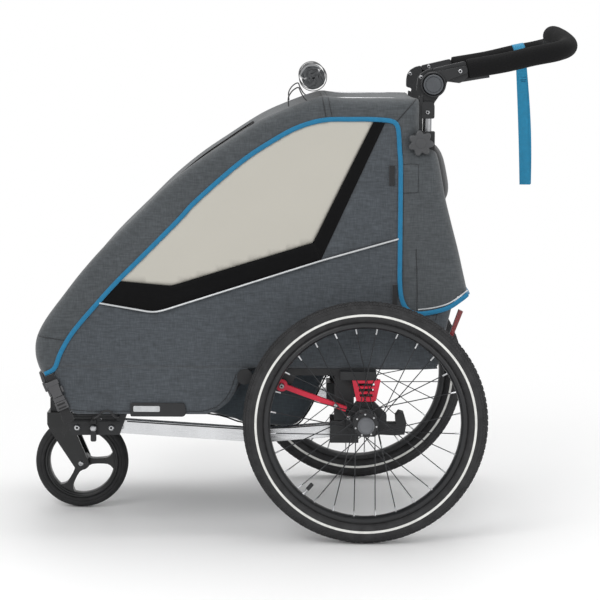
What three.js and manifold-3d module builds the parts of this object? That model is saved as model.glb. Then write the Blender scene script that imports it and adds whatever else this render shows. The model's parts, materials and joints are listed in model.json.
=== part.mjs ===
// Single-seat child bicycle trailer with a push handle, a swivelling front wheel, sprung main wheels
// and a fabric cabin on a folding tube frame. Millimetres, +X towards the push handle, +Z up.
// Every piece is placed from the main wheels' axle line (X = 0) and the ground (Z = 0); the whole
// group is then moved along X so that its box is centred on the origin.
import * as THREE from 'three';
import { mergeVertices } from 'three/addons/utils/BufferGeometryUtils.js';
import Module from 'manifold-3d';

const wasm = await Module();
wasm.setup();

// ---- driving dimensions -------------------------------------------------------------------------
const GAP = 0.4;                       // clearance between touching pieces
const ORIGIN_SHIFT = 134.5;           // moves the object's box centre to X = 0
const WHEEL = { r: 247, halfTrack: 310, tyreR: 22.5, rimIn: 194, rimOut: 201, hubR: 22, spokes: 28 };
const HUB_TRAVEL = 4;                  // how far a wheel's release button goes in
const CASTER = { x: -602, r: 100.3, half: 19, rimIn: 70, rimOut: 79, swivelX: -650, spokes: 3 };
const RAIL = { y: 205, half: 10 };
const BASE = { y: 240, r: 10, seatZ: 362, floorZ: 265 };
const HOOP = { x: 135, z: BASE.seatZ, y: 193, r: 11, roofZ: 884, roofX: -85 };
const POST = { x: 123, y: HOOP.y, r: 9, low: 712, high: 876 };
const TILT = { x: 133, z: 922, r: 24.5, out: 217, mid: 198, inner: 181 };
const ARM = { x: -169, z: 316, y0: 266, y1: 276 };
const AXLE = { z: WHEEL.r, r: 6, y0: 262, y1: 278 };
const BRAKE = { x: 20, z: 222, r: 7 };
const PIN = { x: -555, z: 217, r: 5, standOff: 2 };  // the head stands off the bracket's face
const CLOTH = 3;                       // thickness of a fabric wall
const SIDE_LOW = { z: 330, half: 258 };
const SIDE_HIGH = { z: 880, half: 228 };

const halfWidth = (z) => {
  const t = (z - SIDE_LOW.z) / (SIDE_HIGH.z - SIDE_LOW.z);
  return SIDE_LOW.half + (SIDE_HIGH.half - SIDE_LOW.half) * t;
};

// ---- materials ----------------------------------------------------------------------------------
const paint = (color, roughness, metalness) => (
  new THREE.MeshStandardMaterial({ color, roughness, metalness })
);
const LOOK = {
  aluminium: paint(0xc4c6c8, 0.3, 0.9),
  steel: paint(0xb9bbbd, 0.35, 0.9),
  blackTube: paint(0x1c1d1f, 0.45, 0.6),
  greyTube: paint(0x6e7072, 0.4, 0.8),
  plastic: paint(0x1b1c1e, 0.5, 0),
  capPlastic: paint(0x55585c, 0.45, 0),
  red: paint(0xc82d46, 0.45, 0),
  tyre: paint(0x323232, 0.85, 0),
  rim: paint(0x26282a, 0.4, 0.5),
  foam: paint(0x151515, 0.95, 0),
  greyFabric: paint(0x4c5053, 0.9, 0),
  darkFabric: paint(0x3a4046, 0.9, 0),
  blackFabric: paint(0x141416, 0.95, 0),
  blueWebbing: paint(0x2887ab, 0.8, 0),
  lens: paint(0x6e0304, 0.2, 0),
};

// ---- geometry helpers ---------------------------------------------------------------------------
const v3 = (x, y, z) => new THREE.Vector3(x, y, z);

const disc = (radius, segments = 24, x = 0, z = 0) => {
  const shape = new THREE.Shape();
  for (let i = 0; i < segments; i += 1) {
    const a = (i / segments) * 2 * Math.PI;
    const px = x + radius * Math.cos(a);
    const pz = z + radius * Math.sin(a);
    if (i === 0) shape.moveTo(px, pz);
    else shape.lineTo(px, pz);
  }
  shape.closePath();
  return shape;
};

const outline = (points) => new THREE.Shape(points.map(([x, z]) => new THREE.Vector2(x, z)));

// A side-view shape (x, z) made into a plate between two Y values.
const plate = (shape, y0, y1) => {
  const low = Math.min(y0, y1);
  const high = Math.max(y0, y1);
  const settings = { depth: high - low, bevelEnabled: false, curveSegments: 8 };
  const geometry = new THREE.ExtrudeGeometry(shape, settings);
  geometry.rotateX(Math.PI / 2);
  geometry.translate(0, high, 0);
  return geometry;
};

const box = (x0, x1, y0, y1, z0, z1) => {
  const geometry = new THREE.BoxGeometry(x1 - x0, Math.abs(y1 - y0), z1 - z0);
  geometry.translate((x0 + x1) / 2, (y0 + y1) / 2, (z0 + z1) / 2);
  return geometry;
};

const rodY = (radius, x, z, y0, y1, segments = 16) => plate(disc(radius, segments, x, z), y0, y1);

const rodZ = (radius, x, y, z0, z1, segments = 16) => {
  const geometry = new THREE.CylinderGeometry(radius, radius, z1 - z0, segments);
  geometry.rotateX(Math.PI / 2);
  geometry.translate(x, y, (z0 + z1) / 2);
  return geometry;
};

// A profile of [radius, y] points turned about the Y direction through (x, z).
const turned = (profile, x, z, y = 0, segments = 32) => {
  const points = profile.map(([r, h]) => new THREE.Vector2(r, h));
  const geometry = new THREE.LatheGeometry(points, segments);
  geometry.translate(x, y, z);
  return geometry;
};

// A path through the points whose corners are rounded to about the given length.
const roundedPath = (points, corner) => {
  const path = new THREE.CurvePath();
  let from = points[0];
  for (let i = 1; i < points.length - 1; i += 1) {
    const before = points[i].clone().add(points[i - 1].clone().sub(points[i]).setLength(corner));
    const after = points[i].clone().add(points[i + 1].clone().sub(points[i]).setLength(corner));
    path.add(new THREE.LineCurve3(from, before));
    path.add(new THREE.QuadraticBezierCurve3(before, points[i], after));
    from = after;
  }
  path.add(new THREE.LineCurve3(from, points[points.length - 1]));
  return path;
};

const tube = (path, radius, steps, sides = 10, bore = 0) => {
  const section = disc(radius, sides);
  if (bore > 0) section.holes.push(disc(bore, sides));
  return new THREE.ExtrudeGeometry(section, { steps, extrudePath: path, bevelEnabled: false });
};

const toSolid = (geometry) => {
  const bare = geometry.clone();
  bare.deleteAttribute('normal');
  bare.deleteAttribute('uv');
  const merged = mergeVertices(bare, 1e-3);
  return new wasm.Manifold(new wasm.Mesh({
    numProp: 3,
    vertProperties: new Float32Array(merged.attributes.position.array),
    triVerts: new Uint32Array(merged.index.array),
  }));
};

const toGeometry = (solid) => {
  const mesh = solid.getMesh();
  const geometry = new THREE.BufferGeometry();
  geometry.setAttribute('position', new THREE.BufferAttribute(mesh.vertProperties, 3));
  geometry.setIndex(new THREE.BufferAttribute(mesh.triVerts, 1));
  geometry.computeVertexNormals();
  return geometry;
};

const join = (...parts) => toGeometry(parts.map(toSolid).reduce((a, b) => a.add(b)));
const cut = (base, ...tools) => toGeometry(tools.map(toSolid).reduce((a, b) => a.subtract(b), toSolid(base)));

// Mirrors a left-hand piece (negative Y) to the right, keeping its faces pointing out.
const mirrored = (geometry) => {
  const copy = geometry.index ? geometry.toNonIndexed() : geometry.clone();
  const p = copy.attributes.position;
  for (let i = 0; i < p.count; i += 3) {
    const corners = [0, 1, 2].map((k) => v3(p.getX(i + k), -p.getY(i + k), p.getZ(i + k)));
    [corners[0], corners[2], corners[1]].forEach((c, k) => p.setXYZ(i + k, c.x, c.y, c.z));
  }
  copy.deleteAttribute('uv');
  copy.computeVertexNormals();
  return copy;
};

const trailer = new THREE.Group();
const add = (name, geometry, material) => {
  const mesh = new THREE.Mesh(geometry, material);
  mesh.name = name;
  trailer.add(mesh);
};
const addPair = (name, leftGeometry, material) => {
  add(`${name}_left`, leftGeometry, material);
  add(`${name}_right`, mirrored(leftGeometry), material);
};

// ---- chassis ------------------------------------------------------------------------------------
const railShape = (grow = 0) => outline([
  [-605, 211 - grow], [-210, 186 - grow], [-50 + grow, 200 - grow],
  [-50 + grow, 229 + grow], [-210, 214.5 + grow], [-605, 240 + grow],
]);
const pinBore = rodY(PIN.r + GAP, PIN.x, PIN.z, -240, -180);

function chassis() {
  const y0 = -RAIL.y - RAIL.half;
  const y1 = -RAIL.y + RAIL.half;
  add('rail_left', cut(plate(railShape(), y0, y1), pinBore), LOOK.aluminium);
  add('rail_right', plate(railShape(), -y0, -y1), LOOK.aluminium);
  const reach = RAIL.y - RAIL.half - GAP;
  add('front_crossbar', rodY(9.5, -575, 226, -reach, reach, 14), LOOK.aluminium);
  add('axle_beam', rodY(12, -32, 220, -(188 - GAP), 188 - GAP, 14), LOOK.blackTube);
}

// Side plates on the rails' front ends; the left one takes the drawbar and its locking pin.
function frontBrackets() {
  const face = -RAIL.y - RAIL.half - GAP;
  const shape = outline([[-600, 201], [-502, 202], [-486, 247], [-614, 246]]);
  const slots = [[-599, -558], [-541, -508]].map(([x0, x1]) => box(x0, x1, face - 10, face + 10, 232, 236));
  addPair('front_bracket', cut(plate(shape, face - 6, face), pinBore, ...slots), LOOK.plastic);
  const head = turned([[0, 0], [4, 0.6], [6.5, 3], [7, 7], [6.5, 9.5], [5, 10], [5, 50], [0, 50]],
    PIN.x, PIN.z, face - 6 - PIN.standOff - 10, 16);
  add('drawbar_pin', head, LOOK.steel);
  const route = new THREE.CatmullRomCurve3([
    v3(-555, -225, 232), v3(-554, -236, 240), v3(-550, -255, 244), v3(-542, -269, 250), v3(-530, -271, 260),
    v3(-517, -271, 260), v3(-508, -269, 250), v3(-503, -252, 246), v3(-500, -232, 249), v3(-498, -219, 251),
  ]);
  const cord = tube(route, 2.5, 16, 8);
  const tab = box(-561, -549, -227.5, -223.5, 224.5, 236);
  add('pin_tether', join(tab, cord), LOOK.plastic);
}

function casterUnit() {
  const { x, r, half, swivelX } = CASTER;
  const body = outline([[-668, 212], [-560, 212], [-560, 238], [-600, 242], [-668, 242]]);
  const block = plate(body, -20, 20);
  const barBore = rodY(9.5 + GAP, -575, 226, -30, 30, 14);
  const stemBore = rodZ(8 + GAP, swivelX, 0, 200, 260);
  add('caster_mount', cut(block, barBore, stemBore), LOOK.plastic);

  const blade = outline([
    [-674, 211.5], [-628, 211.5], [-624, 196], [-587, 108], [-586, 100], [-590, 91], [-602, 84],
    [-613, 88], [-618, 95], [-668, 172], [-674, 186],
  ]);
  const crown = box(-674, -628, -30, 30, 203, 211.5);
  const stem = rodZ(8, swivelX, 0, 208, 245);
  const blades = [-1, 1].map((s) => plate(blade, s * 24, s * 30));
  add('caster_fork', cut(join(crown, stem, ...blades), rodY(4.4, x, r, -40, 40, 12)), LOOK.plastic);
  add('caster_axle', turned([[0, -34], [6.5, -34], [6.5, -30.4], [4, -30.4], [4, 30.4], [6.5, 30.4],
    [6.5, 34], [0, 34]], x, r, 0, 12), LOOK.steel);

  const tyre = [[CASTER.rimOut + GAP, -half + 3], [88, -half], [96, -half + 5], [r, -7], [r, 7],
    [96, half - 5], [88, half], [CASTER.rimOut + GAP, half - 3], [CASTER.rimOut + GAP, -half + 3]];
  add('caster_tyre', turned(tyre, x, r, 0, 30), LOOK.tyre);
  const ring = [[CASTER.rimIn, -13], [CASTER.rimOut, -15], [CASTER.rimOut, 15], [CASTER.rimIn, 13],
    [CASTER.rimIn, -13]];
  const hub = [[4.4, -22], [13, -22], [13, 22], [4.4, 22], [4.4, -22]];
  const spokes = Array.from({ length: CASTER.spokes }, (_, i) => {
    const spoke = box(10, CASTER.rimIn + 3, -6, 6, -6, 6);
    spoke.rotateY(-0.04 - (i * 2 * Math.PI) / CASTER.spokes);
    spoke.translate(x, 0, r);
    return spoke;
  });
  add('caster_rim', join(turned(ring, x, r, 0, 30), turned(hub, x, r, 0, 12), ...spokes), LOOK.plastic);
}

// ---- main wheels, swing arms and brake ----------------------------------------------------------
function mainWheels() {
  const { r, halfTrack, tyreR, rimIn, rimOut, hubR, spokes } = WHEEL;
  const tyre = [[rimOut + GAP, -13]];
  const centre = r - tyreR;
  for (let i = 0; i <= 7; i += 1) {
    const a = (-150 + (i * 300) / 7) * (Math.PI / 180);
    tyre.push([centre + tyreR * Math.cos(a), tyreR * Math.sin(a)]);
  }
  tyre.push([rimOut + GAP, 13], [rimOut + GAP, -13]);
  addPair('tyre', turned(tyre, 0, r, -halfTrack, 40), LOOK.tyre);

  const ring = [[rimIn, -7], [rimOut, -12.5], [rimOut, 12.5], [rimIn, 7], [rimIn, -7]];
  const bore = AXLE.r + GAP;
  const hub = [[bore, -26], [hubR - 6, -26], [hubR, -22], [hubR - 8, -18], [hubR - 8, 18], [hubR, 22],
    [hubR, 26], [bore, 26], [bore, -26]];
  const wires = Array.from({ length: spokes }, (_, i) => {
    const side = i % 2 === 0 ? 1 : -1;
    const wire = box(-1.5, 1.5, -1.5, 1.5, hubR - 4, rimIn + 3);
    const lean = Math.atan2(20, rimIn - hubR);
    wire.translate(0, 0, -rimIn);
    wire.rotateX(side * lean);
    wire.translate(0, 0, rimIn);
    wire.rotateY((i * 2 * Math.PI) / spokes);
    wire.translate(0, -halfTrack, r);
    return wire;
  });
  const wheel = join(turned(ring, 0, r, -halfTrack, 40), turned(hub, 0, r, -halfTrack, 16), ...wires);
  addPair('spoked_rim', wheel, LOOK.rim);
  const cap = [[0, -9], [12, -8], [16.5, -4], [17, 0], [5.8, 0], [5.8, 6], [0, 6]];
  addPair('hub_button', turned(cap, 0, r, -halfTrack - 26 - HUB_TRAVEL - GAP, 20), LOOK.capPlastic);
}

function suspension() {
  const wall = outline([
    [-190, 348.5], [-190, 316], [-182, 302], [-156, 302], [-148, 316], [-140, 334], [-62, 334],
    [-62, 242], [-22, 242], [-22, 329], [22, 329], [22, 348.5],
  ]);
  const saddle = box(-60, 20, -250, -229, 340, BASE.seatZ - BASE.r - GAP);
  const pivot = rodY(5, ARM.x, ARM.z, -282, -250, 12);
  const pad = box(-51, 22, -282, -250, 329, 346);
  addPair('suspension_bracket', join(plate(wall, -258, -229), saddle, pad, pivot), LOOK.plastic);

  const angle = Math.atan2(268 - ARM.z, -38 - ARM.x);
  const length = Math.hypot(268 - ARM.z, -38 - ARM.x);
  const bar = box(0, length, -ARM.y1, -ARM.y0, -5, 5);
  bar.rotateY(-angle);
  bar.translate(ARM.x, 0, ARM.z);
  const arm = join(rodY(12, ARM.x, ARM.z, -ARM.y1, -ARM.y0, 20), bar);
  addPair('swing_arm', cut(arm, rodY(5 + GAP, ARM.x, ARM.z, -300, -240, 12)), LOOK.red);

  const carrier = outline([
    [-36, 258], [-18, 284], [18, 284], [44, 258], [44, 232], [20, 212], [-20, 212], [-40, 232],
  ]);
  const stub = rodY(AXLE.r, 0, AXLE.z, -325, -270, 12);
  addPair('axle_carrier', join(plate(carrier, -AXLE.y1, -AXLE.y0), stub), LOOK.plastic);

  const block = outline([[-27, 328.5], [31, 328.5], [22, 286], [13, 284.5], [-9, 284.5], [-18, 286]]);
  const slots = [319, 308, 297].map((z) => {
    const half = 17 - (319 - z) * 0.18;
    return box(2 - half, 2 + half, -290, -250, z - 3, z + 3);
  });
  addPair('elastomer', cut(plate(block, -280, -264), ...slots), LOOK.red);
}

function axleClamps() {
  const shape = outline([
    [-70, 195], [-12, 195], [-12, 209], [34, 209], [34, 236], [-12, 236], [-12, 241.5], [-70, 241.5],
  ]);
  const narrow = plate(shape, -212, -188);
  const block = box(-70, -12, -258, -200, 195, 241.5);
  const socket = plate(railShape(GAP), -RAIL.y - RAIL.half - GAP, -RAIL.y + RAIL.half + GAP);
  const bore = rodY(BRAKE.r + GAP, BRAKE.x, BRAKE.z, -230, -170, 14);
  addPair('axle_clamp', cut(join(narrow, block), socket, bore), LOOK.plastic);
}

function parkingBrake() {
  const arm = outline([[18, 212], [64, 210], [82, 212], [86, 236], [80, 256], [70, 259], [63, 250],
    [64, 234], [24, 234]]);
  const hub = rodY(13, BRAKE.x, BRAKE.z, -252, -222, 16);
  const shaft = rodY(BRAKE.r, BRAKE.x, BRAKE.z, -254, 254, 14);
  add('brake_pedal', join(shaft, hub, plate(arm, -252, -222)), LOOK.plastic);
}

// ---- cabin frame --------------------------------------------------------------------------------
// The fixed lower frame: a tube each side from the seat's rear down round the footwell to the front.
function baseFrame() {
  const { y, r, seatZ, floorZ } = BASE;
  const side = roundedPath([
    v3(HOOP.x, -y, seatZ), v3(-228, -y, seatZ), v3(-300, -y, floorZ), v3(-588, -y, floorZ),
    v3(-628, -y, 318),
  ], 26);
  const left = tube(side, r, 24, 8);
  const crossAt = [[HOOP.x, seatZ], [-560, floorZ], [-228, seatZ - 3]];
  const cross = crossAt.map(([x, z]) => rodY(r, x, z, -y, y, 12));
  const knuckle = join(rodY(16, -244, 332, -267, -262, 24), rodY(6, -244, 332, -265, -235, 12));
  add('base_frame', join(left, mirrored(left), knuckle, mirrored(knuckle), ...cross), LOOK.aluminium);
}

const hoopPath = roundedPath([
  v3(HOOP.x, -HOOP.y, HOOP.z + BASE.r + GAP), v3(98, -HOOP.y, 690), v3(86, -HOOP.y, HOOP.roofZ),
  v3(HOOP.roofX, -HOOP.y, HOOP.roofZ), v3(HOOP.roofX, HOOP.y, HOOP.roofZ), v3(86, HOOP.y, HOOP.roofZ),
  v3(98, HOOP.y, 690), v3(HOOP.x, HOOP.y, HOOP.z + BASE.r + GAP),
], 34);
const HOOP_STEPS = 64;

function rearHoop() {
  const crossbar = rodY(8, 99, 690, -HOOP.y, HOOP.y, 12);
  add('rear_hoop', join(tube(hoopPath, HOOP.r, HOOP_STEPS, 8), crossbar), LOOK.aluminium);
  const rise = [[-108, -213, 872], [-208, -216, 833], [-341, -221, 741], [-514, -229, 578],
    [-631, -232, 442], [-652, -222, 388]];
  const down = rise.map(([x, y, z]) => v3(x, y, z));
  const up = rise.map(([x, y, z]) => v3(x, -y, z)).reverse();
  const rod = new THREE.CatmullRomCurve3([...down, v3(-655, -170, 366), v3(-656, 0, 364),
    v3(-655, 170, 366), ...up]);
  add('front_batten', tube(rod, 5, 48, 6), LOOK.steel);
}

// ---- push handle --------------------------------------------------------------------------------
const star = (radius, lobes, depth, x, z) => {
  const points = Array.from({ length: 42 }, (_, i) => {
    const a = (i / 42) * 2 * Math.PI;
    const reach = radius - depth * (0.5 - 0.5 * Math.cos(lobes * a));
    return [x + reach * Math.cos(a), z + reach * Math.sin(a)];
  });
  return outline(points);
};

function handleHeight() {
  const y0 = -209;
  const y1 = -177;
  const block = plate(outline([[76, 790], [138, 787], [138, 827], [84, 827], [76, 820]]), y0, y1);
  const hoopBore = tube(hoopPath, HOOP.r + GAP, HOOP_STEPS, 8);
  const postBore = rodZ(POST.r + GAP, POST.x, -POST.y, 700, 900, 14);
  const studBore = rodY(3 + GAP, 108, 805, -215, -200, 12);
  addPair('post_clamp', cut(block, hoopBore, postBore, studBore), LOOK.plastic);
  const knob = join(plate(star(27, 7, 8, 108, 805), -238, -226), rodY(9, 108, 805, -240, -209 - GAP, 16),
    rodY(3, 108, 805, -215, -204, 12));
  addPair('star_knob', knob, LOOK.plastic);
  addPair('handle_post', rodZ(POST.r, POST.x, -POST.y, POST.low, POST.high, 14), LOOK.greyTube);
}

function tiltJoints() {
  const { x, z, r, out, mid, inner } = TILT;
  const neck = outline([[110, 853], [136, 853], [136, 880], [148, 908], [120, 912], [110, 890]]);
  const back = outline([
    [112, 906], [101, 908], [101, 924], [103, 935], [108.5, 943], [113, 946], [119, 938], [112, 932],
  ]);
  const cover = outline([
    [112, 906], [101, 908], [101, 924], [103, 935], [109, 944], [120, 951], [132, 954.2], [132, 940],
    [112, 930],
  ]);
  const hub = rodY(r, x, z, -mid + GAP, -inner, 20);
  const low = join(plate(neck, -206, -inner), plate(back, -206, -inner),
    plate(cover, -inner - 2.5, -inner), hub);
  const postSocket = rodZ(POST.r + GAP, POST.x, -POST.y, 840, POST.high + GAP, 14);
  const clear = rodY(r + 3, x, z, -230, -mid + GAP, 20);
  const pinBore = rodY(5, x, z, -260, -150, 14);
  addPair('tilt_base', cut(low, postSocket, clear, pinBore), LOOK.plastic);

  const armShape = outline([
    [134.5, 944], [134.5, 954.9], [189, 967.5], [198, 969], [203, 944], [158, 928], [150, 910],
  ]);
  const barShape = outline([[166, 932], [166, 962], [189, 967.5], [198, 969], [203, 944]]);
  const arm = join(rodY(r, x, z, -out, -mid, 20), plate(armShape, -205, -inner - 3),
    plate(barShape, -205, -inner));
  const barSocket = tube(handlebarPath, 11 + GAP, 48, 8);
  const capBore = rodY(20 + GAP, x, z, -230, -out + 4, 20);
  const cleared = rodY(r + 1, x, z, -mid, -150, 20);
  addPair('tilt_arm', cut(arm, barSocket, capBore, cleared, pinBore), LOOK.plastic);
  addPair('tilt_button', join(rodY(20, x, z, -out - 4, -out + 0.5, 20), rodY(4.4, x, z, -out, -inner, 12)),
    LOOK.capPlastic);
}

const gripHalf = [
  [166, 193, 946], [200, 193, 953], [275, 193, 966], [335, 193, 980], [385, 187, 990],
  [412, 140, 1000], [408, 70, 1014],
];
const handlebarPath = new THREE.CatmullRomCurve3([
  ...gripHalf.map(([x, y, z]) => v3(x, -y, z)), v3(399, 0, 1022),
  ...gripHalf.map(([x, y, z]) => v3(x, y, z)).reverse(),
]);

class PathPart extends THREE.Curve {
  constructor(whole, from, to) {
    super();
    this.whole = whole;
    this.from = from;
    this.to = to;
  }

  getPoint(t, target = v3(0, 0, 0)) {
    return this.whole.getPointAt(this.from + (this.to - this.from) * t, target);
  }
}

function handlebar() {
  add('handlebar_tube', tube(handlebarPath, 11, 48, 8), LOOK.blackTube);
  const grip = new PathPart(handlebarPath, 0.045, 0.955);
  add('foam_grip', tube(grip, 20, 44, 8, 12.6), LOOK.foam);
  add('wrist_strap', box(347, 385, 190, 196, 692, 955), LOOK.blueWebbing);
}

// ---- seat and cabin fabric ----------------------------------------------------------------------
const silhouette = new THREE.SplineCurve([
  new THREE.Vector2(-652, 330), new THREE.Vector2(-671, 378), new THREE.Vector2(-650, 442),
  new THREE.Vector2(-529, 593), new THREE.Vector2(-353, 757), new THREE.Vector2(-217, 851),
  new THREE.Vector2(-120, 896), new THREE.Vector2(-42, 904),
]).getPoints(26).map((p) => [p.x, p.y]);
const seam = new THREE.SplineCurve([
  new THREE.Vector2(-630, 344), new THREE.Vector2(-591, 422), new THREE.Vector2(-502, 524),
  new THREE.Vector2(-343, 681), new THREE.Vector2(-200, 800), new THREE.Vector2(-88, 851),
]).getPoints(16).map((p) => [p.x, p.y]);

// Moves a piece that was drawn straight across onto the cabin's sloping sides.
const taper = (geometry) => {
  const p = geometry.attributes.position;
  for (let i = 0; i < p.count; i += 1) {
    p.setY(i, (p.getY(i) * halfWidth(p.getZ(i))) / SIDE_LOW.half);
  }
  geometry.computeVertexNormals();
  return geometry;
};

const SIDE = SIDE_LOW.half;
const INNER = SIDE - CLOTH;

function cabinSides() {
  const shape = outline([
    ...seam, [14, 852], [48, 848], [61, 833], [68, 761], [68, 515], [74, 485], [106, 461], [168, 474],
    [150, 367], [143, 349], [-159, 349], [-236, 349], [-254, 332], [-262, 302], [-276, 280], [-300, 260],
    [-321, 253], [-595, 253], [-617, 298],
  ]);
  addPair('side_panel', taper(plate(shape, -SIDE, -INNER)), LOOK.greyFabric);
}

function cabinCovers() {
  const roofEnd = [[100, 904], [104, 893], [104, 856]];
  const lowerEdge = [...seam].reverse().map(([x, z]) => [x - 1.5, z + 1.5]);
  const outer = outline([...silhouette, ...roofEnd, [70, 856], [50, 853], [14, 855], ...lowerEdge]);
  const full = plate(outer, -SIDE, SIDE);
  const hollowShape = outline([
    ...silhouette.map(([x, z]) => [x + 3.4, z - CLOTH]), [100, 904 - CLOTH], [101, 893], [101, 840],
    [60, 820], [-600, 300],
  ]);
  const hollow = plate(hollowShape, -INNER, INNER);
  const cover = cut(full, hollow);
  add('roof_cover', taper(cover), LOOK.greyFabric);

  const rearOuter = outline([
    [70, 770], [142, 770], [149, 754], [161, 688], [187, 588], [205, 511], [206, 497], [172, 476],
    [107, 463], [77, 486], [70, 515],
  ]);
  const rearInner = outline([
    [40, 780], [138.6, 780], [145.6, 754], [157.6, 688], [183.6, 588], [201, 511], [200, 501],
    [172, 480], [166, 478], [166, 440], [40, 440],
  ]);
  const shell = cut(plate(rearOuter, -SIDE, SIDE), plate(rearInner, -INNER, INNER));
  const lowBack = outline([[154, 367], [176, 479], [172, 479], [150, 369]]);
  const back = plate(lowBack, -INNER + GAP, INNER - GAP);
  add('rear_cover', taper(join(shell, back)), LOOK.greyFabric);
}

function seatAndFloor() {
  const tub = outline([
    [-590, 249], [-324, 240], [-250, 221], [-150, 214], [-72, 330], [-78, 332], [-153, 218],
    [-249, 225], [-323, 244], [-588, 253],
  ]);
  add('floor_tub', plate(tub, -186, 186), LOOK.darkFabric);
  add('seat_cushion', box(-70, 112, -174, 174, 336, 366), LOOK.blackFabric);
  const back = outline([[70, 376], [92, 376], [80, 820], [58, 820]]);
  add('backrest', plate(back, -172, 172), LOOK.blackFabric);
  add('rain_cover_roll', rodY(27, -109, 934, -205, 205, 24), LOOK.plastic);
}

function smallFittings() {
  add('tail_light', plate(outline([[171, 414], [179, 412], [199, 464], [190, 468]]), -236, -224), LOOK.lens);
  const buckle = outline([[-652, 326], [-632, 334], [-602, 254], [-622, 248]]);
  addPair('front_buckle', plate(buckle, -270, -263.5), LOOK.plastic);
}

chassis();
frontBrackets();
casterUnit();
mainWheels();
suspension();
axleClamps();
parkingBrake();
baseFrame();
rearHoop();
handleHeight();
tiltJoints();
handlebar();
cabinSides();
cabinCovers();
seatAndFloor();
smallFittings();

trailer.position.x = ORIGIN_SHIFT;
export default trailer;
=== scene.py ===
"""Looks of the child bicycle trailer: materials, fabric, wheels and small parts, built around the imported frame.

Lengths in the tables are millimetres from the main wheels' axle line (X), the middle plane (Y) and
the ground (Z); at() turns them into the row frame's metres.
"""
import json
import math

import bmesh
import bpy
from mathutils import Matrix, Vector, noise
from mathutils.geometry import delaunay_2d_cdt


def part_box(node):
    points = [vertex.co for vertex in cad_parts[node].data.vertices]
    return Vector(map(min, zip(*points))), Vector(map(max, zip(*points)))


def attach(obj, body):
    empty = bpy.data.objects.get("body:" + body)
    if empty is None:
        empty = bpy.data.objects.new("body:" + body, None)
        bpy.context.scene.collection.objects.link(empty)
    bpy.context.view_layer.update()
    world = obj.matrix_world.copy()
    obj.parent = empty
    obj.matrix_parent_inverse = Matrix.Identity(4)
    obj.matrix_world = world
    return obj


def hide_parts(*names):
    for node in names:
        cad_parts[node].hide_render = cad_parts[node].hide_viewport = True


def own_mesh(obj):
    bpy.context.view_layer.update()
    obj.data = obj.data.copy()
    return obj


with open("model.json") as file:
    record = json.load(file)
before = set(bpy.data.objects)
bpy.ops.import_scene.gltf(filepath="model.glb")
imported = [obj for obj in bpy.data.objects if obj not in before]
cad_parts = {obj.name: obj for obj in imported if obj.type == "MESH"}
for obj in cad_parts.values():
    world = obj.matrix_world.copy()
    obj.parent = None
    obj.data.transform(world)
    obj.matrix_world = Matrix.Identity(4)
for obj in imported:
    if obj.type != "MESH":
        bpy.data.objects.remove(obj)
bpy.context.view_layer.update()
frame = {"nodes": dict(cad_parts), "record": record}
MM = 0.001
BODY_OF = {n: body for body, nodes in frame["record"]["behaviour"]["bodies"].items() for n in nodes}
SIDES = {"left": -1, "right": 1}


def centre(node):
    low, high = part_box(node)
    return (low + high) / 2


AXLE = centre("tyre_left").x
WHEEL_Z = centre("tyre_left").z / MM
TRACK_HALF = abs(centre("tyre_left").y) / MM
CASTER_X = (centre("caster_rim").x - AXLE) / MM
CASTER_Z = centre("caster_rim").z / MM


def at(x, y, z):
    """A point in the row frame from millimetres off the axle line, the middle plane and the ground."""
    return Vector((AXLE + x * MM, y * MM, z * MM))


# ---- camera -------------------------------------------------------------------------------------
CAMERA_AT = (-152, -4281, 1019)
CAMERA_PITCH, CAMERA_YAW, CAMERA_ROLL = math.radians(7.51), math.radians(-0.27), math.radians(0.37)
CAMERA_LENS = 120.54


def add_camera():
    data = bpy.data.cameras.new("camera")
    data.sensor_width, data.lens = 36, CAMERA_LENS
    cp, sp = math.cos(CAMERA_PITCH), math.sin(CAMERA_PITCH)
    forward = Vector((-math.sin(CAMERA_YAW) * cp, math.cos(CAMERA_YAW) * cp, -sp))
    level = Vector((math.cos(CAMERA_YAW), math.sin(CAMERA_YAW), 0))
    upright = level.cross(forward)
    cr, sr = math.cos(CAMERA_ROLL), math.sin(CAMERA_ROLL)
    right, up = level * cr + upright * sr, upright * cr - level * sr
    camera = bpy.data.objects.new("camera", data)
    bpy.context.scene.collection.objects.link(camera)
    turn = Matrix((right, up, -forward)).transposed().to_4x4()
    camera.matrix_world = Matrix.Translation(at(*CAMERA_AT)) @ turn
    bpy.context.scene.camera = camera


# ---- shape helpers ------------------------------------------------------------------------------
def spline(points, steps=8, closed=False):
    """A smooth line through the points, as Vectors."""
    p = [Vector(q) for q in points]
    n = len(p)
    line = []
    for i in range(n if closed else n - 1):
        a, b, c, d = (p[k % n] if closed else p[min(max(k, 0), n - 1)] for k in (i - 1, i, i + 1, i + 2))
        for s in range(steps):
            t = s / steps
            line.append(0.5 * (2 * b + (c - a) * t + (2 * a - 5 * b + 4 * c - d) * t * t
                               + (3 * b - a - 3 * c + d) * t ** 3))
    return line if closed else line + [p[-1]]


def rounded(points, radius, steps=5):
    """A line of straight runs whose corners are rounded."""
    p = [Vector(q) for q in points]
    line = [p[0]]
    for a, b, c in zip(p, p[1:], p[2:]):
        cut = min(radius, (a - b).length / 2, (c - b).length / 2)
        start, end = b + (a - b).normalized() * cut, b + (c - b).normalized() * cut
        for s in range(steps + 1):
            t = s / steps
            line.append(start * (1 - t) ** 2 + b * 2 * t * (1 - t) + end * t * t)
    return line + [p[-1]]


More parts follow.
